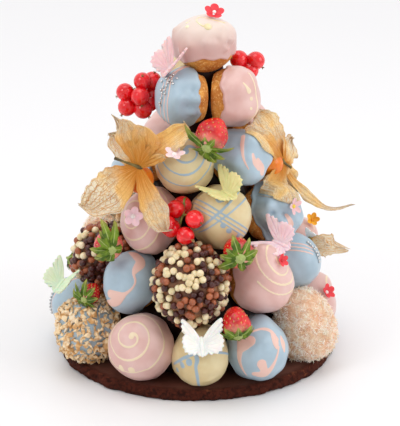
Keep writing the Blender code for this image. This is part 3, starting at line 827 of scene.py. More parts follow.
def makeCone():
    bm = cadCopy("chocolate_core")
    bmesh.ops.subdivide_edges(bm, edges=bm.edges, cuts=5, use_grid_fill=True)
    bmesh.ops.smooth_vert(bm, verts=bm.verts, factor=0.5, use_axis_x=True, use_axis_y=True, use_axis_z=True)
    points = np.array([v.co for v in bm.verts])
    for v, swell in zip(bm.verts, waves(points, 11, 8, 6)):
        if v.co.z > discTop + 2:
            v.co.xy *= 1 + coneShape["lumps"] * swell / max(8.0, v.co.xy.length)
        if v.co.z > coneShape["melt"]:  # widened into a near-black plug in the gaps between the upper puffs: glossy chocolate shows there, and the plug also stands in for the shade in those gaps
            lean = Vector((v.co.z * coneShape["lean"], 0))
            v.co.xy = lean + (v.co.xy - lean) * coneShape["wider"][v.co.z >= coneShape["top"]]
            v.co.x += coneShape["aside"] * max(0.0, v.co.z - coneShape["top"])
            v.co.z += coneShape["stretch"] * max(0.0, v.co.z - coneShape["top"])
    mesh = meshFrom("chocolateCone", bm)
    storeNumbers(mesh, "rim", np.zeros(len(mesh.vertices)))
    # near-black, darker than the disc: the chocolate's own colour, darkened further as painted shade inside
    # the heap
    chocolate = chocolateMaterial("coreChocolate", "1C0E0B", "2E1813")
    addPiece("chocolate_cone", mesh, [chocolate], "dark_chocolate", "chocolate_core")


makeDisc()
makeCone()
print("disc and cone done")


# chocolate pearls, chopped nuts and coconut

chipsUp = Vector((0.3, 0.2, 1))


def coated(coat):  # the puffs with this coating, each with its number
    return enumerate(node for node in puffNodes if coatOf(node) == coat)


def spreadOver(node, apart, tries, seed, taken=np.zeros((0, 3))):  # spots on a puff at least this far apart
    seat, rng, found = seats[node], random.Random(seed), []
    for _ in range(tries):
        way = anyWay(rng)
        if way.z < -0.62:
            continue
        hit, normal = hitFrom(node, insideOf(seat), seat["axes"].to_3x3() @ way)
        if hit is None or (seat["axes"].inverted() @ hit).z < 0.03 * seat["tall"] or hit.z < discTop + 1.2:
            continue
        if len(taken) and np.linalg.norm(taken - np.array(hit), axis=1).min() < apart:
            continue
        taken = np.vstack([taken, np.array(hit)[None]])
        found.append((hit, normal))
    return found, taken


def tumbled(rng):
    return Euler([rng.uniform(0, 6.3) for _ in range(3)]).to_matrix().to_4x4()


pearlShape = {"across": 4.0, "sunk": 0.45, "tries": 5200, "upperTries": 1400, "upperLift": 1.4}
whiteShares = {"puff_pearl_front": -0.25, "puff_pearl_left": -1.0}
pearlTones = {"White": ("F1E2BE", "E0CB9C"), "Milk": ("B0643F", "8E4A2C"), "Dark": ("55241D", "3A1512")}


def pearlMaterial(name, tone, deep):
    material, shader, coords = startMaterial(name, 0.28, Subsurface_Weight=0.1, Subsurface_Scale=0.001)
    wire(shader, Base_Color=mottle(coords, 260, 2, (0.35, 0.65), deep, tone))
    wire(shader, Normal=bump(speckle(coords, 1500, 2), 0.25, 0.0002))
    return material


def makePearls():
    rng = random.Random(11)
    across = pearlShape["across"]
    kinds = {kind: [] for kind in pearlTones}
    for seed, node in coated("pearl"):
        found, taken = spreadOver(node, across * 0.9, pearlShape["tries"], 40 + seed)
        upper, _ = spreadOver(node, across * 0.6, pearlShape["upperTries"], 60 + seed, taken)
        layers = [(p, n, 0.0) for p, n in found] + [(p, n, pearlShape["upperLift"]) for p, n in upper]
        places = np.array([p for p, _, _ in layers])
        axes = np.array(seats[node]["axes"])
        local = (places - axes[:3, 3]) @ axes[:3, :3]
        centre = np.exp(-(((local[:, 0] + 1) / 9) ** 2) - ((local[:, 1] - 2) / 8) ** 2)
        pale = 0.8 * waves(places, 12, 5 + seed, 4) + whiteShares.get(node, -0.1) + 1.1 * centre
        warm = waves(places, 10, 9 + seed, 4)
        for (point, normal, lift), light, brown in zip(layers, pale, warm):
            radius = across / 2 * rng.uniform(0.92, 1.05)
            light += rng.gauss(0, 0.45)
            kind = "White" if light > 0.0 else ("Milk" if brown + rng.gauss(0, 0.5) > 0.1 else "Dark")
            spot = point + normal * (radius * pearlShape["sunk"] + lift)
            kinds[kind].append(Matrix.Translation(spot) @ tumbled(rng) @ Matrix.Scale(radius, 4))
    for kind, places in kinds.items():
        mesh = sowCopies("pearls" + kind, [ballShape(2)], places)
        mesh.shade_smooth()
        sugar = pearlMaterial("pearl" + kind, *pearlTones[kind])
        addPiece("pearls_" + kind.lower(), mesh, [sugar], "chocolate_pearls")
    print("pearls:", sum(len(p) for p in kinds.values()))


nutShape = {"apart": 2.0, "tries": 4400, "size": (1.7, 3.1), "proud": (0.2, 0.55), "kinds": 7}


def chipShape(seed, flat=0.6):
    rng = random.Random(seed)
    bm = bmesh.new()
    for _ in range(9):
        way = anyWay(rng)
        bm.verts.new((way.x, way.y * 0.8, way.z * flat))
    made = bmesh.ops.convex_hull(bm, input=bm.verts)
    loose = [v for v in made["geom_interior"] if isinstance(v, bmesh.types.BMVert)]
    bmesh.ops.delete(bm, geom=loose, context="VERTS")
    return bm


def rolled(rng, tilt, sway):  # a random turn about the way out, after a little lean
    return Euler((rng.gauss(0, tilt), rng.gauss(0, sway), rng.uniform(0, 6.3))).to_matrix().to_4x4()


def makeNuts():
    rng, places = random.Random(23), []
    for seed, node in coated("nut"):
        for point, normal in spreadOver(node, nutShape["apart"], nutShape["tries"], 80 + seed)[0]:
            size = rng.uniform(*nutShape["size"])
            axes = axesAt(point + normal * size * rng.uniform(*nutShape["proud"]), normal, chipsUp)
            places.append(axes @ rolled(rng, 0.5, 0.5) @ Matrix.Scale(size, 4))
    material, shader, coords = startMaterial("choppedNuts", 0.6)
    tone = mottle(coords, 330, 1, (0.38, 0.6), "D6A468", "F8DDB2")
    # pale patches: the pale flesh of cut nuts, partly a painted highlight
    tone = blendColour(stepUp(speckle(coords, 210, 2), 0.52, 0.68), tone, paint("F5E5CA"))
    wire(shader, Base_Color=tone, Normal=bump(speckle(coords, 1800, 3), 0.5, 0.0004))
    mesh = sowCopies("choppedNuts", [chipShape(seed) for seed in range(nutShape["kinds"])], places)
    addPiece("chopped_nut_chips", mesh, [material], "chopped_nuts")
    print("nut chips:", len(places))


coconutShape = {"count": 5200, "long": (0.8, 2.2), "wide": (0.14, 0.3), "proud": (0.1, 1.3)}


def makeCoconut():
    rng, places = random.Random(31), []
    for seed, node in coated("coconut"):
        for point, normal in spreadOver(node, 0.0, coconutShape["count"], 120 + seed)[0]:
            long, wide = rng.uniform(*coconutShape["long"]), rng.uniform(*coconutShape["wide"])
            axes = axesAt(point + normal * rng.uniform(*coconutShape["proud"]), normal, chipsUp)
            places.append(axes @ rolled(rng, 0.6, 0.75) @ Matrix.Diagonal((long, wide, wide * 0.8, 1)))
    material, shader, coords = startMaterial("coconut", 0.55, Subsurface_Weight=0.15, Subsurface_Scale=0.001)
    wire(shader, Base_Color=mottle(coords, 260, 3, (0.36, 0.56), "F4CFAC", "FFF6EA"))
    wire(shader, Normal=bump(speckle(coords, 2500, 2), 0.3, 0.0002))
    mesh = sowCopies("coconutFlakes", [chipShape(seed, 1.0) for seed in range(20, 24)], places)
    addPiece("coconut_flakes", mesh, [material], "shredded_coconut")
    print("coconut flakes:", len(places))


makePearls()
makeNuts()
makeCoconut()


# silver beads, and the icing piped on the top puff

beadPaths = {
    "striped_top": ((17.3, 7.9), [
        (-7.9, 8.9), (-10.2, 7.6), (-8.2, 6.5), (-6.6, 6), (-5.9, 4.5), (-8.6, 5.2), (-4.4, 7.7), (-13, 6.6),
        (-11.6, 2.9), (-10.1, 1.4), (-12.1, -0.1), (-9.9, -0.6), (-13, -3), (-13.2, 1.6), (-14.6, -5.9),
        (-7, 10.4), (-9.4, 3.4), (-11.4, 8.8), (-13.8, -7.6),
    ]),
    "striped_left": ((11, 2), [(-8.4 + 0.05 * k * k / 10, 7.0 - 1.9 * k) for k in range(11)]),
    "striped_right": ((-13.2, 7.4), [
        (11.4, 4.3), (12.2, 2.9), (12.9, 1.4), (13.3, -0.3), (13.6, -2), (13.8, -3.8), (13.9, -5.6),
        (13.8, -7.4), (14.9, 0.4), (15.1, -2.4), (15.3, -5),
    ]),
    "striped_back": ((0, 0), [(-8 + 1.8 * k, 11.5 - 0.08 * k * k) for k in range(10)]),
}
beadAcross = 1.45
crownPiping = {
    "lines": [
        [(4.9, -2.9, 0.45), (8.8, -2.3, 0.5), (12.7, 0.8, 0.65), (13.4, 3.4, 0.9)],
        [(4.9, -2.9, 0.45), (1.3, -0.7, 0.42), (3.1, 4.1, 0.38), (5.1, 10.6, 0.5), (3.8, 16, 0.42)],
    ],
    "drops": [(13.4, 4.4, 2.1), (10.4, -8.9, 1.15), (3.1, -9.9, 0.9), (2, -8, 0.6)],
}


def makeBeads():
    places = []
    for name, (centre, spots) in beadPaths.items():
        for spot in spots:
            point, _ = onPuff(name, spot, beadAcross * 0.32, centre)
            places.append(Matrix.Translation(point) @ Matrix.Scale(beadAcross / 2, 4))
    material, shader, coords = startMaterial("silverSugar", 0.22, Metallic=0.92)
    wire(shader, Base_Color=blendColour(speckle(coords, 700, 2), paint("B9BABC"), paint("E4E3E0")))
    wire(shader, Normal=bump(speckle(coords, 2600, 2), 0.2, 0.0001))
    mesh = sowCopies("silverBeads", [ballShape(3)], places)
    mesh.shade_smooth()
    addPiece("silver_beads", mesh, [material], "sugar_white")


def dropShape(bm, point, normal, radius, height):
    place = axesAt(point, normal, Vector((0.2, 0.3, 1))) @ Matrix.Diagonal((radius, radius, height, 1))
    bmesh.ops.create_uvsphere(bm, u_segments=24, v_segments=14, radius=1.0, matrix=place)


def makeCrownPiping():
    paths = []
    for line in crownPiping["lines"]:
        spots = smoothPath(line, 10)
        paths.append([(onPuff("drops_crown", (x, y), -0.35 * wide)[0], wide) for x, y, wide in spots])
    bm = tube("crownPiping", paths, 3)
    for right, up, radius in crownPiping["drops"]:
        dropShape(bm, *onPuff("drops_crown", (right, up), -0.1), radius, radius * 0.55)
    icing = plainMaterial(
        "ivoryIcing", "F3E7C6", "EAD6A6", 0.3, 150, 0.0002, Subsurface_Weight=0.15, Subsurface_Scale=0.002
    )
    addPiece("crown_piping", meshFrom("crownPiping", bm), [icing], "ivory_icing")


makeBeads()
makeCrownPiping()
print("beads and piping done")


# strawberries

strawberryShape = {
    "wide": 15.5, "long": 18.0, "dimple": 0.34, "pit": 0.75, "uneven": 0.35,
    "seeds": 84, "seed": (0.30, 0.62, 0.22), "seedDepth": 0.26,
}
strawberries = {  # the way the calyx faces, size, then each leaf as (turn, length, width, lift, curl)
    "top": ((-20, -29), 1.14, [
        (134, 15.5, 3.8, 4, -16), (95, 6, 3.4, 4, -20), (50, 7, 3.4, 6, -20), (2, 13.5, 4, 8, -14),
        (-44, 10.5, 4.6, 14, -20), (-76, 11, 4.8, 18, -24), (-118, 10, 4.6, 16, -30), (-165, 8, 4, 14, -20),
    ]),
    "leafy": ((16, 5), 1, [
        (103, 16, 4.6, 14, -34), (76, 15, 4.2, 20, -42), (38, 9, 4.2, 0, -44), (-4, 7.5, 3.8, 24, -60),
        (-48, 8, 4, 0, -50), (-98, 9, 4.2, 20, -60), (-142, 11, 4.2, 4, -40), (178, 10.5, 4, 20, -44),
        (136, 9, 3.8, 30, -60), (118, 11, 3.2, 4, -20), (-166, 8, 3, 34, -30),
    ]),
    "small": ((-32, -14), 0.72, [
        (88, 10.5, 3.4, 4, -30), (50, 8.5, 3.2, 0, -30), (5, 7, 3, 8, -30), (-50, 7, 3, 0, -20),
        (-100, 7, 3.2, 8, -30), (-150, 8, 3.2, 4, -24), (165, 9, 3.4, 10, -30), (125, 9.5, 3.4, 8, -24),
    ]),
    "mid": ((6, -2), 1.05, [
        (108, 12, 4.4, 4, -34), (58, 11, 4.2, 0, -30), (18, 9.5, 4.4, 6, -24), (-28, 9.5, 4, 2, -36),
        (-80, 7, 3.8, 14, -20), (-150, 13, 4.4, 4, -24), (178, 10, 4, 6, -30), (145, 8, 3.6, 14, -30),
    ]),
    "low": ((8, -34), 1, [
        (95, 9, 4, 30, -24), (35, 8.5, 3.8, 14, -30), (-10, 10, 4, 4, -34), (-60, 8, 3.6, 0, -20),
        (-120, 8, 3.6, 0, -20), (-170, 10.5, 4.2, 6, -34), (145, 8.5, 3.8, 16, -30),
    ]),
    "left": ((-104, 18), 0.72, []),
    "back": ((-128, 30), 0.72, []),
}


def berryMaterial():
    material, shader, coords = startMaterial(
        "strawberrySkin", 0.22, Subsurface_Weight=0.18, Subsurface_Scale=0.002,
        Subsurface_Radius=(1.0, 0.25, 0.15),
    )
    skin = mottle(coords, 190, 3, (0.3, 0.7), "B60D18", "E22822")
    pit = stepUp(attribute(coords, "pit"), 0.25, 0.9)
    skin = blendColour(sums("MULTIPLY", pit, 0.32), skin, paint("EE5A38"))
    skin = blendColour(stepUp(attribute(coords, "shoulder"), 0.72, 1.0, 0, 0.7), skin, paint("F3B49A"))
    wire(shader, Base_Color=skin, Normal=bump(speckle(coords, 800, 2), 0.15, 0.0002))
    return material


def leafMaterial():
    material, shader, coords = startMaterial("strawberryLeaf", 0.5, Specular_IOR_Level=0.25)
    along = addNode(coords, "UVMap", uv_map="leaf").outputs["UV"]
    split = addNode(coords, "SeparateXYZ", {"Vector": along})
    across = sums("ABSOLUTE", split.outputs["Y"])
    cloud = speckle(coords, 300, 3)
    green = blendColour(stepUp(cloud, 0.35, 0.65), paint("3E5A14"), paint("718A24"))
    green = blendColour(stepUp(across, 0.16, 0.03, 0, 0.6), green, paint("C2CC84"))
    green = blendColour(stepUp(split.outputs["X"], 0.55, 1.0, 0, 0.65), green, paint("B0A552"))
    wire(shader, Base_Color=green, Normal=bump(cloud, 0.5, 0.0003))
    return material


def berryPoint(around, share, wide, long):  # on the skin, share 0 at the tip and 1 at the calyx
    height = 2 * share - 1
    reach = math.sqrt(max(0.0, 1 - height * height)) ** 0.92 * (0.76 + 0.34 * share) * wide / 2
    return Vector((reach * math.cos(around), reach * math.sin(around), long * (0.97 * share - 0.55)))


def leafSheet(bm, uv, axes, turn, length, width, lift, curl):  # one leaf, out from the middle of the calyx
    shares = sheetShape(bm, 4, 10)
    spin = turnBy(turn)
    for v, (along, across) in shares.items():
        breadth = math.sin(math.pi * min(1.0, 0.16 + 0.84 * along) ** 1.1) ** 0.8
        breadth *= 1 + 0.12 * math.sin(17 * along + turn + 2 * across)
        side = across * width / 2 * max(0.02, breadth)
        angle = math.radians(lift + curl * along)
        twist = 0.5 * math.sin(turn) * along
        sag = 0.35 * abs(side) + 0.35 * math.sin(9 * along + turn) * along + twist * side
        reach = 0.9 + along * length
        v.co = axes @ spin @ Vector((reach * math.cos(angle), side, reach * math.sin(angle) + sag))
    for face in facesOf(shares):
        for loop in face.loops:
            loop[uv].uv = shares[loop.vert]


def skinWay(point, long):  # straight out of a berry's skin
    return Vector((point.x, point.y, 0.6 * (point.z + 0.1 * long))).normalized()


def makeBerry(name, index, way, wide, long, seeds, skin):  # gives the berry's own axes
    node, axes = "strawberry_" + name, facing(Vector(), *way)
    bm = ballShape(5)
    where, pits, shoulders = np.array(seeds), [], []
    for v in bm.verts:
        share = (v.co.z + 1) / 2
        point = berryPoint(math.atan2(v.co.y, v.co.x), share, wide, long)
        near = np.linalg.norm(where - np.array(point), axis=1).min()
        pit = math.exp(-((near / strawberryShape["pit"]) ** 2))
        out, turn = skinWay(point, long), math.atan2(point.y, point.x)
        v.co = point - out * pit * strawberryShape["dimple"]
        v.co += out * strawberryShape["uneven"] * math.sin(0.5 * point.z + index) * math.sin(2 * turn + index)
        pits.append(pit)
        shoulders.append(share)
    bmesh.ops.transform(bm, matrix=axes, verts=bm.verts)
    shift = Matrix.Translation(centreOn(bm, node))
    mesh = meshFrom(node, bm)
    storeNumbers(mesh, "pit", np.array(pits))
    storeNumbers(mesh, "shoulder", np.array(shoulders))
    addPiece("berry_" + name, mesh, [skin], "strawberry_red", node)
    return shift @ axes


def makeCalyx(name, top, size, leaves, leaf):
    bm = bmesh.new()
    uv = bm.loops.layers.uv.new("leaf")
    for shape in leaves or [(45 * k, 8 * size, 3.4 * size, 6, -30) for k in range(8)]:
        leafSheet(bm, uv, top, *shape)
    bmesh.ops.solidify(bm, geom=bm.faces[:], thickness=0.28)
    addCone(bm, top @ raised(0.9), 10, 1.1, 0.6, 2.2)
    middle = top @ raised(0.2) @ Matrix.Diagonal((2.7 * size, 2.7 * size, 1.1, 1))
    bmesh.ops.create_uvsphere(bm, u_segments=18, v_segments=10, radius=1.0, matrix=middle)
    bmesh.ops.recalc_face_normals(bm, faces=bm.faces)
    addPiece("calyx_" + name, meshFrom("calyx_" + name, bm), [leaf], "strawberry_red")


def makeStrawberries():
    skin, leaf = berryMaterial(), leafMaterial()
    count, seedPlaces = strawberryShape["seeds"], []
    for index, (name, (way, size, leaves)) in enumerate(strawberries.items()):
        wide, long = strawberryShape["wide"] * size, strawberryShape["long"] * size
        shares = [(0.05 + 0.86 * (k + 0.5) / count) ** 0.9 for k in range(count)]
        seeds = [berryPoint(2.4 * k, share, wide, long) for k, share in enumerate(shares)]
        axes = makeBerry(name, index, way, wide, long, seeds, skin)
        for seed in seeds:
            out = skinWay(seed, long)
            place = axesAt(seed - out * strawberryShape["seedDepth"], out, upward)
            seedPlaces.append(axes @ place @ Matrix.Diagonal((*strawberryShape["seed"], 1)))
        makeCalyx(name, axes @ raised(0.40 * long), size, leaves, leaf)
    mesh = sowCopies("strawberrySeeds", [ballShape(1)], seedPlaces)
    mesh.shade_smooth()
    seed = plainMaterial("strawberrySeed", "E6C56A", "B98F3A", 0.4, 500, 0.0001)
    addPiece("strawberry_seeds", mesh, [seed], "strawberry_red")
    print("strawberries:", len(strawberries))


makeStrawberries()


# redcurrants

currantRadius = 4.8
sprigShape = {"stalk": 0.42, "stem": 0.62, "tips": 5}
sprigs = {  # the way the sprig faces, each berry as (right, up, out), and the stalk it hangs from
    "front": ((0, 0), [
        (0.1, 5.1, -9), (-3.4, 5.2, -3.4), (6.4, 3.2, 5.8), (-5.5, -3.4, 1.6), (-7.6, -1.2, 2.4),
        (1.7, -5.2, 7.6),
    ], [(1, 9.5, -7), (0.6, 4, -2), (-1, -1, 0), (-2.4, -4, 1)]),
    "left": ((0, 0), [
        (1.2, 7.6, -0.6), (6.2, 6.6, -4.4), (-8, 1.6, -1), (0, 0.6, 3.6), (6, -1, -4.4), (-7, -6, 1),
        (1.4, -6.8, 2.6), (4.6, -4.6, -2),
    ], [(9, 3, -8), (3, 4, -3), (-2, 3.4, -1.5), (-4.6, 1.6, -1), (-3.2, -3.4, -1)]),
    "right": ((0, 0), [(-4.6, 2, -0.8), (4.2, 1.4, -0.6), (1.2, -3.6, 0.4), (-1, -1.4, -4.2)],
        [(-6, -3, -3), (-2, 0.6, -1), (0, 2.6, -0.6), (1.6, 2.6, -0.4)]),
    "back": ((150, 12), [(1, 8, -2.4), (-4.2, 4, 1.2), (5.2, 1.4, 0.6), (-5.6, -4.6, 1), (2.2, -6.8, 0.8)],
        [(1, 12, -4), (0.4, 5, -2.6), (0, 0, -2), (-0.6, -5, -1.6)]),
}


def currantMaterial():
    material, shader, coords = startMaterial(
        "redcurrantSkin", 0.06, Specular_IOR_Level=0.35, Subsurface_Weight=0.3, Subsurface_Scale=0.004,
        Subsurface_Radius=(1.0, 0.12, 0.08), Coat_Weight=0.6, Coat_Roughness=0.03,
    )
    turned = addNode(coords, "UVMap", uv_map="skin").outputs["UV"]
    around = addNode(coords, "SeparateXYZ", {"Vector": turned}).outputs["X"]
    stripe = sums("ABSOLUTE", sums("SINE", sums("MULTIPLY", around, 37.7)))
    skin = mottle(coords, 230, 2, (0.35, 0.7), "DA0915", "F61A26")
    vein = sums("MULTIPLY", stepUp(stripe, 0.18, 0.0), 0.22)
    wire(shader, Base_Color=blendColour(vein, skin, paint("F0584C")))
    wire(shader, Normal=bump(speckle(coords, 500, 2), 0.08, 0.0002))
    return material


def sprigBerries(name, way, berries, stalk, rng, skin):  # gives the stem, and where each berry joins it
    node, axes = "currants_" + name, facing(Vector(), *way)
    bm = bmesh.new()
    uv = bm.loops.layers.uv.new("skin")
    ends = []
    stem = [Vector(p) for p in smoothPath([axes @ Vector(p) for p in stalk], 5)]
    for berry in berries:
        centre = axes @ Vector(berry)
        root = min(stem, key=lambda p: (p - centre).length)
        out = (centre - root).normalized() + Vector((0, -0.25, -0.45))
        out += Vector([rng.gauss(0, 0.2) for _ in range(3)])
        place = axesAt(centre, out, Vector((0.1, 0.2, 1)))
        radius = currantRadius * rng.uniform(0.96, 1.04)
        made = bmesh.ops.create_uvsphere(bm, u_segments=30, v_segments=20, radius=radius, matrix=place)
        for face in facesOf(made["verts"]):
            flat = place.inverted() @ face.calc_center_median()
            for loop in face.loops:
                loop[uv].uv = (math.atan2(flat.y, flat.x) / math.tau, flat.z / currantRadius)
        ends.append((place, root))
    shift = Matrix.Translation(centreOn(bm, node))
    addPiece("berries_" + name, meshFrom(node, bm), [skin], "redcurrant", node)
    return shift, stem, ends


def makeSprigs():
    skin = currantMaterial()
    dried = plainMaterial("driedCalyx", "A8773F", "6E4420", 0.7, 600, 0.0003)
    stalkGreen = plainMaterial("currantStalk", "9AA24E", "6C6A2C", 0.5, 300, 0.0002)
    rng = random.Random(5)
    tufts, stalks = bmesh.new(), []
    for name, sprig in sprigs.items():
        shift, stem, ends = sprigBerries(name, *sprig, rng, skin)
        for place, root in ends:
            spot = shift @ place @ raised(currantRadius * 0.97)
            addCone(tufts, spot @ raised(0.15), 8, 0.7, 0.45, 0.8)
            for k in range(sprigShape["tips"]):
                spin = Matrix.Rotation(k * math.tau / sprigShape["tips"], 4, "Z")
                tilt = spin @ Matrix.Rotation(0.55, 4, "Y")
                addCone(tufts, spot @ tilt @ raised(0.85), 5, 0.3, 0.05, 1.3)
            back = place @ Vector((0, 0, -currantRadius * 0.98))
            bend = (back + root) / 2 + Vector((0, 0, 0.8))
            thin = smoothPath([root, bend, back], 4)
            stalks.append([(shift @ Vector(p), sprigShape["stalk"]) for p in thin])
        stalks.append([(shift @ p, sprigShape["stem"]) for p in stem])
    addPiece("currant_tufts", meshFrom("currantTufts", tufts, False), [dried], "redcurrant")
    addPiece("currant_stalks", meshFrom("currantStalks", tube("stalks", stalks)), [stalkGreen], "redcurrant")
    print("redcurrant sprigs:", len(sprigs))


makeSprigs()


# cape gooseberries

capes = {  # shares of the node's box for fruit and root, the way the husk opens, stalk and petals
    "left": {
        "fruit": (0.545, 0.658, 0.462), "root": (0.540, 0.393, 0.612), "radius": 7.2, "way": (-18, 24),
        "stalk": (163, 24, 13.5),
        "petals": [
            (110, 28, 15, 4, 14, 0.6), (82, 25.5, 17, -8, 34, 0.5), (46, 37, 15, 12, -24, 0.75),
            (30, 17, 5, 12, -10, 0.5), (-63, 41, 14, 10, -24, 0.8), (-137, 42, 24, -4, -6, 1.1),
            (138, 29, 15, -10, -6, 1.4), (121, 32, 5, 2, 10, 0.9),
        ],
    },
    "right": {
        "fruit": (0.305, 0.575, 0.430), "root": (0.429, 0.587, 0.443), "radius": 7.2, "way": (50, 6),
        "stalk": (-50, 10, 6),
        "petals": [
            (137, 45, 13, 4, -6, 0.9), (100, 36, 22, -14, -14, 1), (30, 20, 18, -12, -10, 1.1),
            (-60, 22, 12, -4, -6, 1), (-62, 42, 6, -16, 50, 1), (-140, 28, 12, 8, -26, 0.9),
            (-112, 24, 10, 4, -20, 0.9),
        ],
    },
    "behind": {
        "fruit": (0.45, 0.86, 0.30), "root": (0.506, 0.292, 0.374), "radius": 5.4, "way": (90, -16),
        "stalk": (-30, 20, 4),
        "petals": [(-48, 17, 15, 80, 8, 2), (-60, 12, 10, 66, 0, 2), (150, 9, 8, 64, 8, 1.8)],
    },
}
petalShape = {"across": 16, "along": 34, "thick": 0.25, "near": 62, "pushes": 40, "push": 0.5}
stalkShape = {"ahead": -2, "radii": (1.3, 0.75, 0.55, 0.8)}
huskTones = {"gold": "F2C47A", "cream": "FFF3D8", "root": "C87C24", "vein": "BC7E38", "fibre": "DDA057"}


def huskMaterial():
    material, shader, coords = startMaterial(
        "dryHusk", 0.6, Specular_IOR_Level=0.15, Subsurface_Weight=0.35, Subsurface_Scale=0.0008,
        Subsurface_Radius=(1.0, 0.8, 0.5),
    )
    sheet = addNode(coords, "UVMap", uv_map="husk").outputs["UV"]
    across = addNode(coords, "SeparateXYZ", {"Vector": sheet}).outputs["Y"]
    warp = addNode(coords, "TexNoise", {"Vector": sheet, "Scale": 3.0, "Detail": 2.0}).outputs["Color"]
    bend = addNode(coords, "VectorMath", {0: warp, 1: (0.22, 0.22, 0), 2: sheet}, operation="MULTIPLY_ADD")
    nets = []
    for scale in (9.0, 21.0):
        inputs = {"Vector": bend.outputs["Vector"], "Scale": scale}
        nets.append(addNode(coords, "TexVoronoi", inputs, feature="DISTANCE_TO_EDGE").outputs["Distance"])
    ribs = sums("ABSOLUTE", sums("SINE", sums("MULTIPLY", across, 15.7)))
    net = sums("MAXIMUM", stepUp(nets[0], 0.075, 0.0), stepUp(nets[1], 0.06, 0.0, 0, 0.35))
    veins = sums("MAXIMUM", net, stepUp(ribs, 0.22, 0.05))
    drawn = addNode(coords, "VectorMath", {0: sheet, 1: (1.2, 16, 1)}, operation="MULTIPLY").outputs["Vector"]
    streaks = addNode(coords, "TexNoise", {"Vector": drawn, "Scale": 1.3, "Detail": 3.0}).outputs["Fac"]
    cloud = speckle(coords, 60, 4, 0.6)
    tip = attribute(coords, "tip")
    pale = stepUp(sums("MULTIPLY_ADD", tip, 0.42, cloud), 0.56, 0.86)
    skin = blendColour(pale, paint(huskTones["gold"]), paint(huskTones["cream"]))
    root = sums("ADD", tip, sums("MULTIPLY_ADD", streaks, 0.5, -0.25))
    skin = blendColour(stepUp(root, 0.5, 0.05), skin, paint(huskTones["root"]))
    skin = blendColour(stepUp(streaks, 0.5, 0.64, 0, 0.45), skin, paint(huskTones["fibre"]))
    marked = sums("MULTIPLY", veins, stepUp(pale, 0, 1, 0.36, 0.95))
    skin = blendColour(marked, skin, paint(huskTones["vein"]))
    wire(shader, Base_Color=skin, Normal=bump(sums("ADD", veins, cloud), 0.4, 0.0004))
    thin = sums("MULTIPLY", stepUp(pale, 0.2, 1, 0.0, 0.4), stepUp(veins, 0.5, 0.0, 0.05))
    clear = addNode(coords, "BsdfTransparent", {"Color": paint("FFFAF0")}).outputs["BSDF"]
    sheer = addNode(coords, "MixShader", {0: thin, 1: shader.outputs["BSDF"], 2: clear}).outputs["Shader"]
    wire(material.node_tree.nodes["Material Output"], Surface=sheer)
    return material


def buried(point, trees):  # in a puff, or less than half a millimetre off it
    for tree in trees:
        near, normal, _, far = tree.find_nearest(point)
        if far < 14 and (point - near).dot(normal) < 0.5:
            return True
    return False


def petalSheet(bm, uv, tip, axes, turn, length, width, lift, curl, fade, trees, seed):
    shares = sheetShape(bm, petalShape["across"], petalShape["along"])
    rise, bend, spin = math.radians(lift), math.radians(curl), turnBy(turn)
    out = (axes.to_3x3() @ upward).normalized()
    for v, (along, across) in shares.items():
        breadth = 0.08 + 0.98 * max(0.0, math.sin(math.pi * along**1.15)) ** (0.7 + 0.85 * along**2)
        edge = 1 if across > 0 else 2.3
        uneven = 1 + 0.10 * math.sin(9 * along + edge * (seed + 2))
        uneven += 0.05 * math.sin(23 * along * edge + seed)
        angle = rise + bend * along
        side = across * width / 2 * (breadth * uneven)
        fold = 0.16 * width * across * across * along
        crimp = 1.6 * math.sin(13 * along + edge + seed) + 0.9 * math.sin(29 * along + seed)
        curled = abs(across) ** 4 * along * crimp
        ruffle = 0.6 * math.sin(11 * along + 3 * across + seed) * along
        ruffle += 0.7 * math.cos(3 * math.pi * across) * along
        hook = 2.6 * max(0.0, along - 0.82) ** 1.5 * length
        reach = along * length
        leaf = Vector((reach * math.cos(angle), side * (1 - 0.1 * across * across), fold + ruffle + curled))
        leaf.z += reach * math.sin(angle)
        leaf += Vector((-0.5 * hook, 0.6 * hook * math.sin(seed * 2.1), 0.7 * hook))
        point = axes @ spin @ leaf
        for _ in range(petalShape["pushes"]):
            if not buried(point, trees):
                break
            point += out * petalShape["push"]
        v.co = point
        v[tip] = along * fade
    for face in facesOf(shares):
        for loop in face.loops:
            along, across = shares[loop.vert]
            loop[uv].uv = (along * length / 20 + seed, across * (0.5 + 0.1 * along) + 0.5)


def makeCapes():
    husk, near = huskMaterial(), petalShape["near"]
    fruitSkin = plainMaterial(
        "capeFruit", "F08A1E", "D96A0C", 0.2, 120, 0.0001, Subsurface_Weight=0.3, Subsurface_Scale=0.003
    )
    stalkBrown = plainMaterial("capeStalk", "7A6A34", "4A3A1C", 0.6, 300, 0.0003)
    for name, cape in capes.items():
        node = "cape_gooseberry_" + name
        place, root = Matrix.Translation(inBox(node, cape["fruit"])), inBox(node, cape["root"])
        bm = bmesh.new()
        bmesh.ops.create_uvsphere(bm, u_segments=40, v_segments=28, radius=cape["radius"], matrix=place)
        addPiece("cape_fruit_" + name, meshFrom("capeFruit_" + name, bm), [fruitSkin], "dry_husk")
        axes = facing(root, *cape["way"])
        trees = [treeOf(puff) for puff in puffNodes if (middleOf(puff) - root).length < near]
        bm = bmesh.new()
        uv = bm.loops.layers.uv.new("husk")
        tip = bm.verts.layers.float.new("tip")
        for seed, shape in enumerate(cape["petals"]):
            petalSheet(bm, uv, tip, axes, *shape, trees, 1.7 * seed)
        bmesh.ops.recalc_face_normals(bm, faces=bm.faces)
        addSheet("husk_" + name, bm, husk, "dry_husk", petalShape["thick"], node)
        turn, rise, far = cape["stalk"]
        lean = turnBy(turn) @ turnBy(90 - rise, "Y")
        line = [(0, 0, stalkShape["ahead"]), (0.2, 0, 0.22 * far), (0, 0.4, 0.6 * far), (-0.3, 0.6, far)]
        path = [(axes @ lean @ Vector(p), r) for p, r in zip(line, stalkShape["radii"])]
        stalk = meshFrom("capeStalk_" + name, tube("capeStalk", [path], 3))
        addPiece("cape_stalk_" + name, stalk, [stalkBrown], "dry_husk")
    print("cape gooseberries:", len(capes))


makeCapes()


# sugar butterflies and flowers

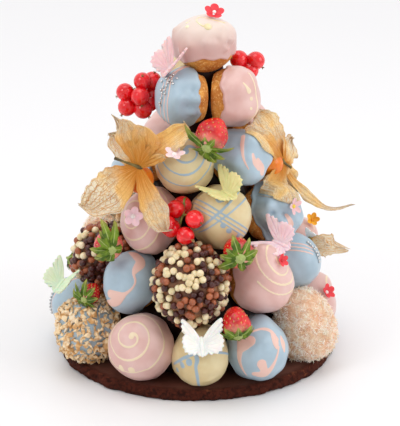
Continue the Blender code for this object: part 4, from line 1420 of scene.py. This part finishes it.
halfWing = [  # from the head round to the tail, as shares of the half span
    (0.05, 0.24), (0.20, 0.44), (0.42, 0.70), (0.68, 0.92), (0.92, 1.06), (0.99, 0.93), (0.93, 0.84),
    (1, 0.74), (0.93, 0.64), (0.97, 0.54), (0.86, 0.46), (0.83, 0.38), (0.95, 0.28), (0.94, 0.18),
    (1, 0.08), (0.93, -0.03), (0.97, -0.16), (0.88, -0.22), (0.87, -0.36), (0.74, -0.36), (0.66, -0.47),
    (0.53, -0.40), (0.40, -0.49), (0.28, -0.40), (0.14, -0.50), (0.03, -0.50),
]
butterflies = {  # the way the fold faces, roll, span, fold of each wing and the sugar's colours
    "green": ((-34, 45), -18, 22, 33, "DFECD0", "C6DBAC"),
    "yellow": ((-20, 62), 65, 24, 33, "ECE3A2", "D2C67E"),
    "pink": ((-4, 48), 64, 24, 29, "F6D6DB", "E2B6BF"),
    "white": ((12, 33), -3, 24, 22, "FBF6F0", "E8E2DC"),
    "top": ((-42, 44), -15, 23.5, 44, "F6D2D2", "E4B6B8"),
}
wing = {"rings": 8, "rays": 8.5, "groove": 0.22, "rise": 0.06, "neck": 0.08, "thick": 0.9}
smallButterfly = {
    "spot": (-17.5, 6.5), "lift": 3.4, "way": (20, 20, 50), "span": 11.5, "fold": 40, "thick": 0.6,
}


def sugarMaterial(name, tone, deep):
    material, shader, coords = startMaterial(name, 0.55, Subsurface_Weight=0.25, Subsurface_Scale=0.002)
    cloud = speckle(coords, 300, 3)
    vein = stepUp(attribute(coords, "vein"), 0.2, 0.9, 0, 0.75)
    sugar = blendColour(stepUp(cloud, 0.3, 0.7, 0, 0.4), paint(tone), paint(deep))
    wire(shader, Base_Color=blendColour(vein, sugar, paint(deep)))
    wire(shader, Normal=bump(speckle(coords, 2400, 2), 0.3, 0.0001))
    return material


def wingShape(span, fold):
    outline = smoothPath(halfWing, 3)
    last, half, tilt = len(outline) - 1, span / 2, math.radians(fold)
    bm = bmesh.new()
    veins = bm.verts.layers.float.new("vein")
    for side in (1, -1):
        for v, (share, height) in sheetShape(bm, last, wing["rings"]).items():
            step = round((height / 2 + 0.5) * last)
            x = outline[step][0] * half * share
            y = (outline[step][1] * share - wing["neck"] * (1 - share)) * half
            ray = abs(math.sin(step / last * math.pi * wing["rays"])) ** 0.5
            groove = (1 - ray) * math.sin(math.pi * min(1, share * 1.05)) ** 0.5
            lift = wing["rise"] * x * x / half - wing["groove"] * groove
            v[veins] = groove
            v.co = Vector((side * (x * math.cos(tilt) - lift * math.sin(tilt)), y, x * math.sin(tilt) + lift))
    bmesh.ops.remove_doubles(bm, verts=bm.verts, dist=0.02)
    bmesh.ops.recalc_face_normals(bm, faces=bm.faces)
    thick = min(0.75, 0.07 * half)
    place = Matrix.Translation((0, -0.1 * half, 0.45 * thick))
    body = place @ Matrix.Diagonal((thick, 0.42 * half, thick, 1)) @ Matrix.Rotation(1.5708, 4, "X")
    bmesh.ops.create_uvsphere(bm, u_segments=16, v_segments=12, radius=1.0, matrix=body)
    return bm


def makeButterflies():
    for name, (way, roll, span, fold, tone, deep) in butterflies.items():
        node = "butterfly_" + name
        bm = wingShape(span, fold)
        bmesh.ops.transform(bm, matrix=facing(Vector(), *way, roll), verts=bm.verts)
        centreOn(bm, node)
        slotName = {"top": "sugar_pink"}.get(name, "sugar_" + name)
        sugar = sugarMaterial("sugar_" + name, tone, deep)
        addSheet("sugar_" + node, bm, sugar, slotName, wing["thick"], node)
    point, _ = onPuff("drops_mid", smallButterfly["spot"], smallButterfly["lift"])
    bm = wingShape(smallButterfly["span"], smallButterfly["fold"])
    bmesh.ops.transform(bm, matrix=facing(point, *smallButterfly["way"]), verts=bm.verts)
    sugar = sugarMaterial("smallButterfly", "F2F4F4", "D8DEDF")
    addSheet("small_butterfly", bm, sugar, "sugar_white", smallButterfly["thick"])
    print("butterflies:", 1 + len(butterflies))


def flowerShape(bm, axes, radius, cup, gap):  # five flat round petals round a centre
    for k in range(5):
        spin = Matrix.Rotation(k * math.tau / 5, 4, "Z")
        made = bmesh.ops.create_uvsphere(bm, u_segments=16, v_segments=10, radius=1.0)
        for v in made["verts"]:
            wide = radius * 0.42 * gap
            x, y, z = v.co.x * radius * 0.44 + radius * 0.54, v.co.y * wide, v.co.z * 0.35
            rise = cup * radius * (max(0.0, x) / radius) ** 2 + 0.22 * radius * (v.co.y * 0.9) ** 2 * cup * 2
            v.co = axes @ spin @ Vector((x, y, z + rise))


flowers = {  # puff, place on it, (tilt, turn, lift), radius, petal and centre colours, slot, cup and gap
    "mid": ("spiral_mid", (1.9, 1.4), (8, 38, 3), 5.4, "F8D0D6", "FBF3EE", "sugar_pink", 0.9, 0.9),
    "ivory": ("spiral_ivory", (-0.6, 1.4), (44, 10, 7), 5.6, "F9D8DA", "FFF6F2", "sugar_pink", 0.7, 0.8),
    "feather": ("feather_mid", (-6, 2.5), (10, -12, 1.4), 4.8, "EDC2C6", "F3D34A", "sugar_pink", 0.9, 0.7),
    "big": ("spiral_big", (1, 6), (0, 0, 0.6), 3.6, "F0434C", "D93038", "sugar_red", 1.2, 0.9),
    "low": ("drops_low", (-11.6, 5.5), (0, 12, 1.6), 4.4, "F0434C", "FBF3EE", "sugar_red", 1.2, 0.9),
    "back_a": ("ivory_back", (1, 4), (0, 0, 0.6), 5.2, "F1C3CC", "FBF3EE", "sugar_pink", 0.9, 0.9),
    "back_b": ("striped_back", (-2, 3), (0, 0, 0.6), 4.6, "F0434C", "FBF3EE", "sugar_red", 1, 0.9),
    "back_c": ("spiral_upper_back", (3, 2), (0, 0, 0.6), 5, "F7F4F2", "F3D34A", "sugar_white", 0.9, 0.8),
    "back_d": ("lines_back", (0, 5), (0, 0, 0.6), 4.8, "F6C77E", "F3D34A", "sugar_yellow", 0.9, 0.9),
    "back_e": ("ivory_top_back", (0, 2), (0, 0, 0.6), 4.8, "F1C3CC", "FBF3EE", "sugar_pink", 0.9, 0.9),
    "side": ("drops_mid", (-6, 8.8), (0, -42, 2), 3.9, "FFB62E", "F59A1A", "sugar_yellow", 1.4, 0.9),
}
crownFlower = {"way": (16, 60), "petals": (5.4, 0.5, 1.02), "bead": (1.0, 0.8), "sunk": 0.6}


def makeFlowers():
    node = "flower_crown"
    axes = facing(Vector(), *crownFlower["way"])
    out = axes.to_3x3() @ upward
    bm = bmesh.new()
    flowerShape(bm, axes, *crownFlower["petals"])
    centreOn(bm, node)
    sugar = sugarMaterial("crownFlower", "F2414C", "D8303C")
    addPiece("sugar_flower_crown", meshFrom(node, bm), [sugar], "sugar_red", node)
    beadSugar = plainMaterial("whiteSugarBead", "FBF5F0", "EFE2DA", 0.5, 400, 0.0001)
    bm = bmesh.new()
    dropShape(bm, middleOf(node) - out * crownFlower["sunk"], out, *crownFlower["bead"])
    addPiece("crown_flower_bead", meshFrom("crownBead", bm), [beadSugar], "sugar_white")
    for name, (puff, spot, (tilt, yaw, lift), radius, tone, core, slotName, cup, gap) in flowers.items():
        axes = axesAt(*onPuff(puff, spot, lift), upward) @ turnBy(-tilt, "X")
        axes = axes @ turnBy(yaw, "Y")
        bm = bmesh.new()
        flowerShape(bm, axes @ Matrix.Rotation(0.3, 4, "Z"), radius, cup * 0.5, gap)
        sugar = sugarMaterial("petal_" + name, tone, deeper(tone, 0.9))
        addPiece("flower_" + name, meshFrom("flower_" + name, bm), [sugar], slotName)
        bm = bmesh.new()
        dropShape(bm, axes @ Vector((0, 0, 0.2)), axes.to_3x3() @ upward, radius * 0.24, radius * 0.2)
        bead = plainMaterial("bead_" + name, core, deeper(core, 0.9), 0.5, 400, 0.0001)
        addPiece("flower_bead_" + name, meshFrom("bead_" + name, bm), [bead], slotName)
    print("flowers:", 1 + len(flowers))


makeButterflies()
makeFlowers()


# floor, light and camera

studio = {"above": 1.05, "front": 0.72, "floor": ("ECEBED", "EFEEEF"), "floorSize": 4000}
lamps = {  # place, what it is aimed at, size and power
    "overheadLamp": ((-0.1, -0.05, 1.2), (0, 0, 0.05), 0.7, 2.4),
    "keyLamp": ((-0.65, -0.6, 0.8), (0, 0, 0.09), 0.4, 1.8),
    "rightLamp": ((0.85, -0.35, 0.55), (0, 0, 0.09), 0.6, 2.6),
}
view = {"place": (0, -1.1, 0.5), "aim": (0.002, 0, 0.076), "lens": 36 * 2200 / 426, "clip": (0.01, 30)}


def aimed(thing, place, aim):
    thing.location = place
    thing.rotation_euler = (Vector(aim) - Vector(place)).to_track_quat("-Z", "Y").to_euler()


def makeStage():
    bm = bmesh.new()
    bmesh.ops.create_grid(bm, x_segments=8, y_segments=8, size=studio["floorSize"])
    mesh = meshFrom("floor", bm)
    material, shader, coords = startMaterial("paleFloor", 0.55)
    wire(shader, Base_Color=blendColour(speckle(coords, 3, 2), *[paint(tone) for tone in studio["floor"]]))
    mesh.materials.append(material)
    linked("floor", mesh)


def makeLight():
    world = bpy.data.worlds.new("studio")
    bpy.context.scene.world = world
    world.use_nodes = True
    sky = world.node_tree.nodes["Background"]
    sky.inputs["Color"].default_value = (1, 1, 1, 1)
    way = addNode(sky.inputs["Color"], "TexCoord").outputs["Generated"]
    depth = addNode(way, "SeparateXYZ", {"Vector": way}).outputs["Y"]
    seen = addNode(way, "LightPath").outputs["Is Camera Ray"]
    glow = stepUp(depth, -0.9, 0.4, studio["front"], studio["above"])
    wire(sky, Strength=sums("MAXIMUM", glow, seen))
    for name, (place, aim, size, power) in lamps.items():
        light = bpy.data.lights.new(name, "AREA")
        light.size, light.energy = size, power
        aimed(linked(name, light), place, aim)


def makeCamera():
    lens = bpy.data.cameras.new("camera")
    lens.lens, lens.sensor_width = view["lens"], 36
    lens.clip_start, lens.clip_end = view["clip"]
    camera = linked("camera", lens)
    aimed(camera, view["place"], view["aim"])
    bpy.context.scene.camera = camera


makeStage()
makeLight()
makeCamera()
bpy.context.scene.view_settings.view_transform = "Standard"
bpy.context.scene.view_settings.look = "None"
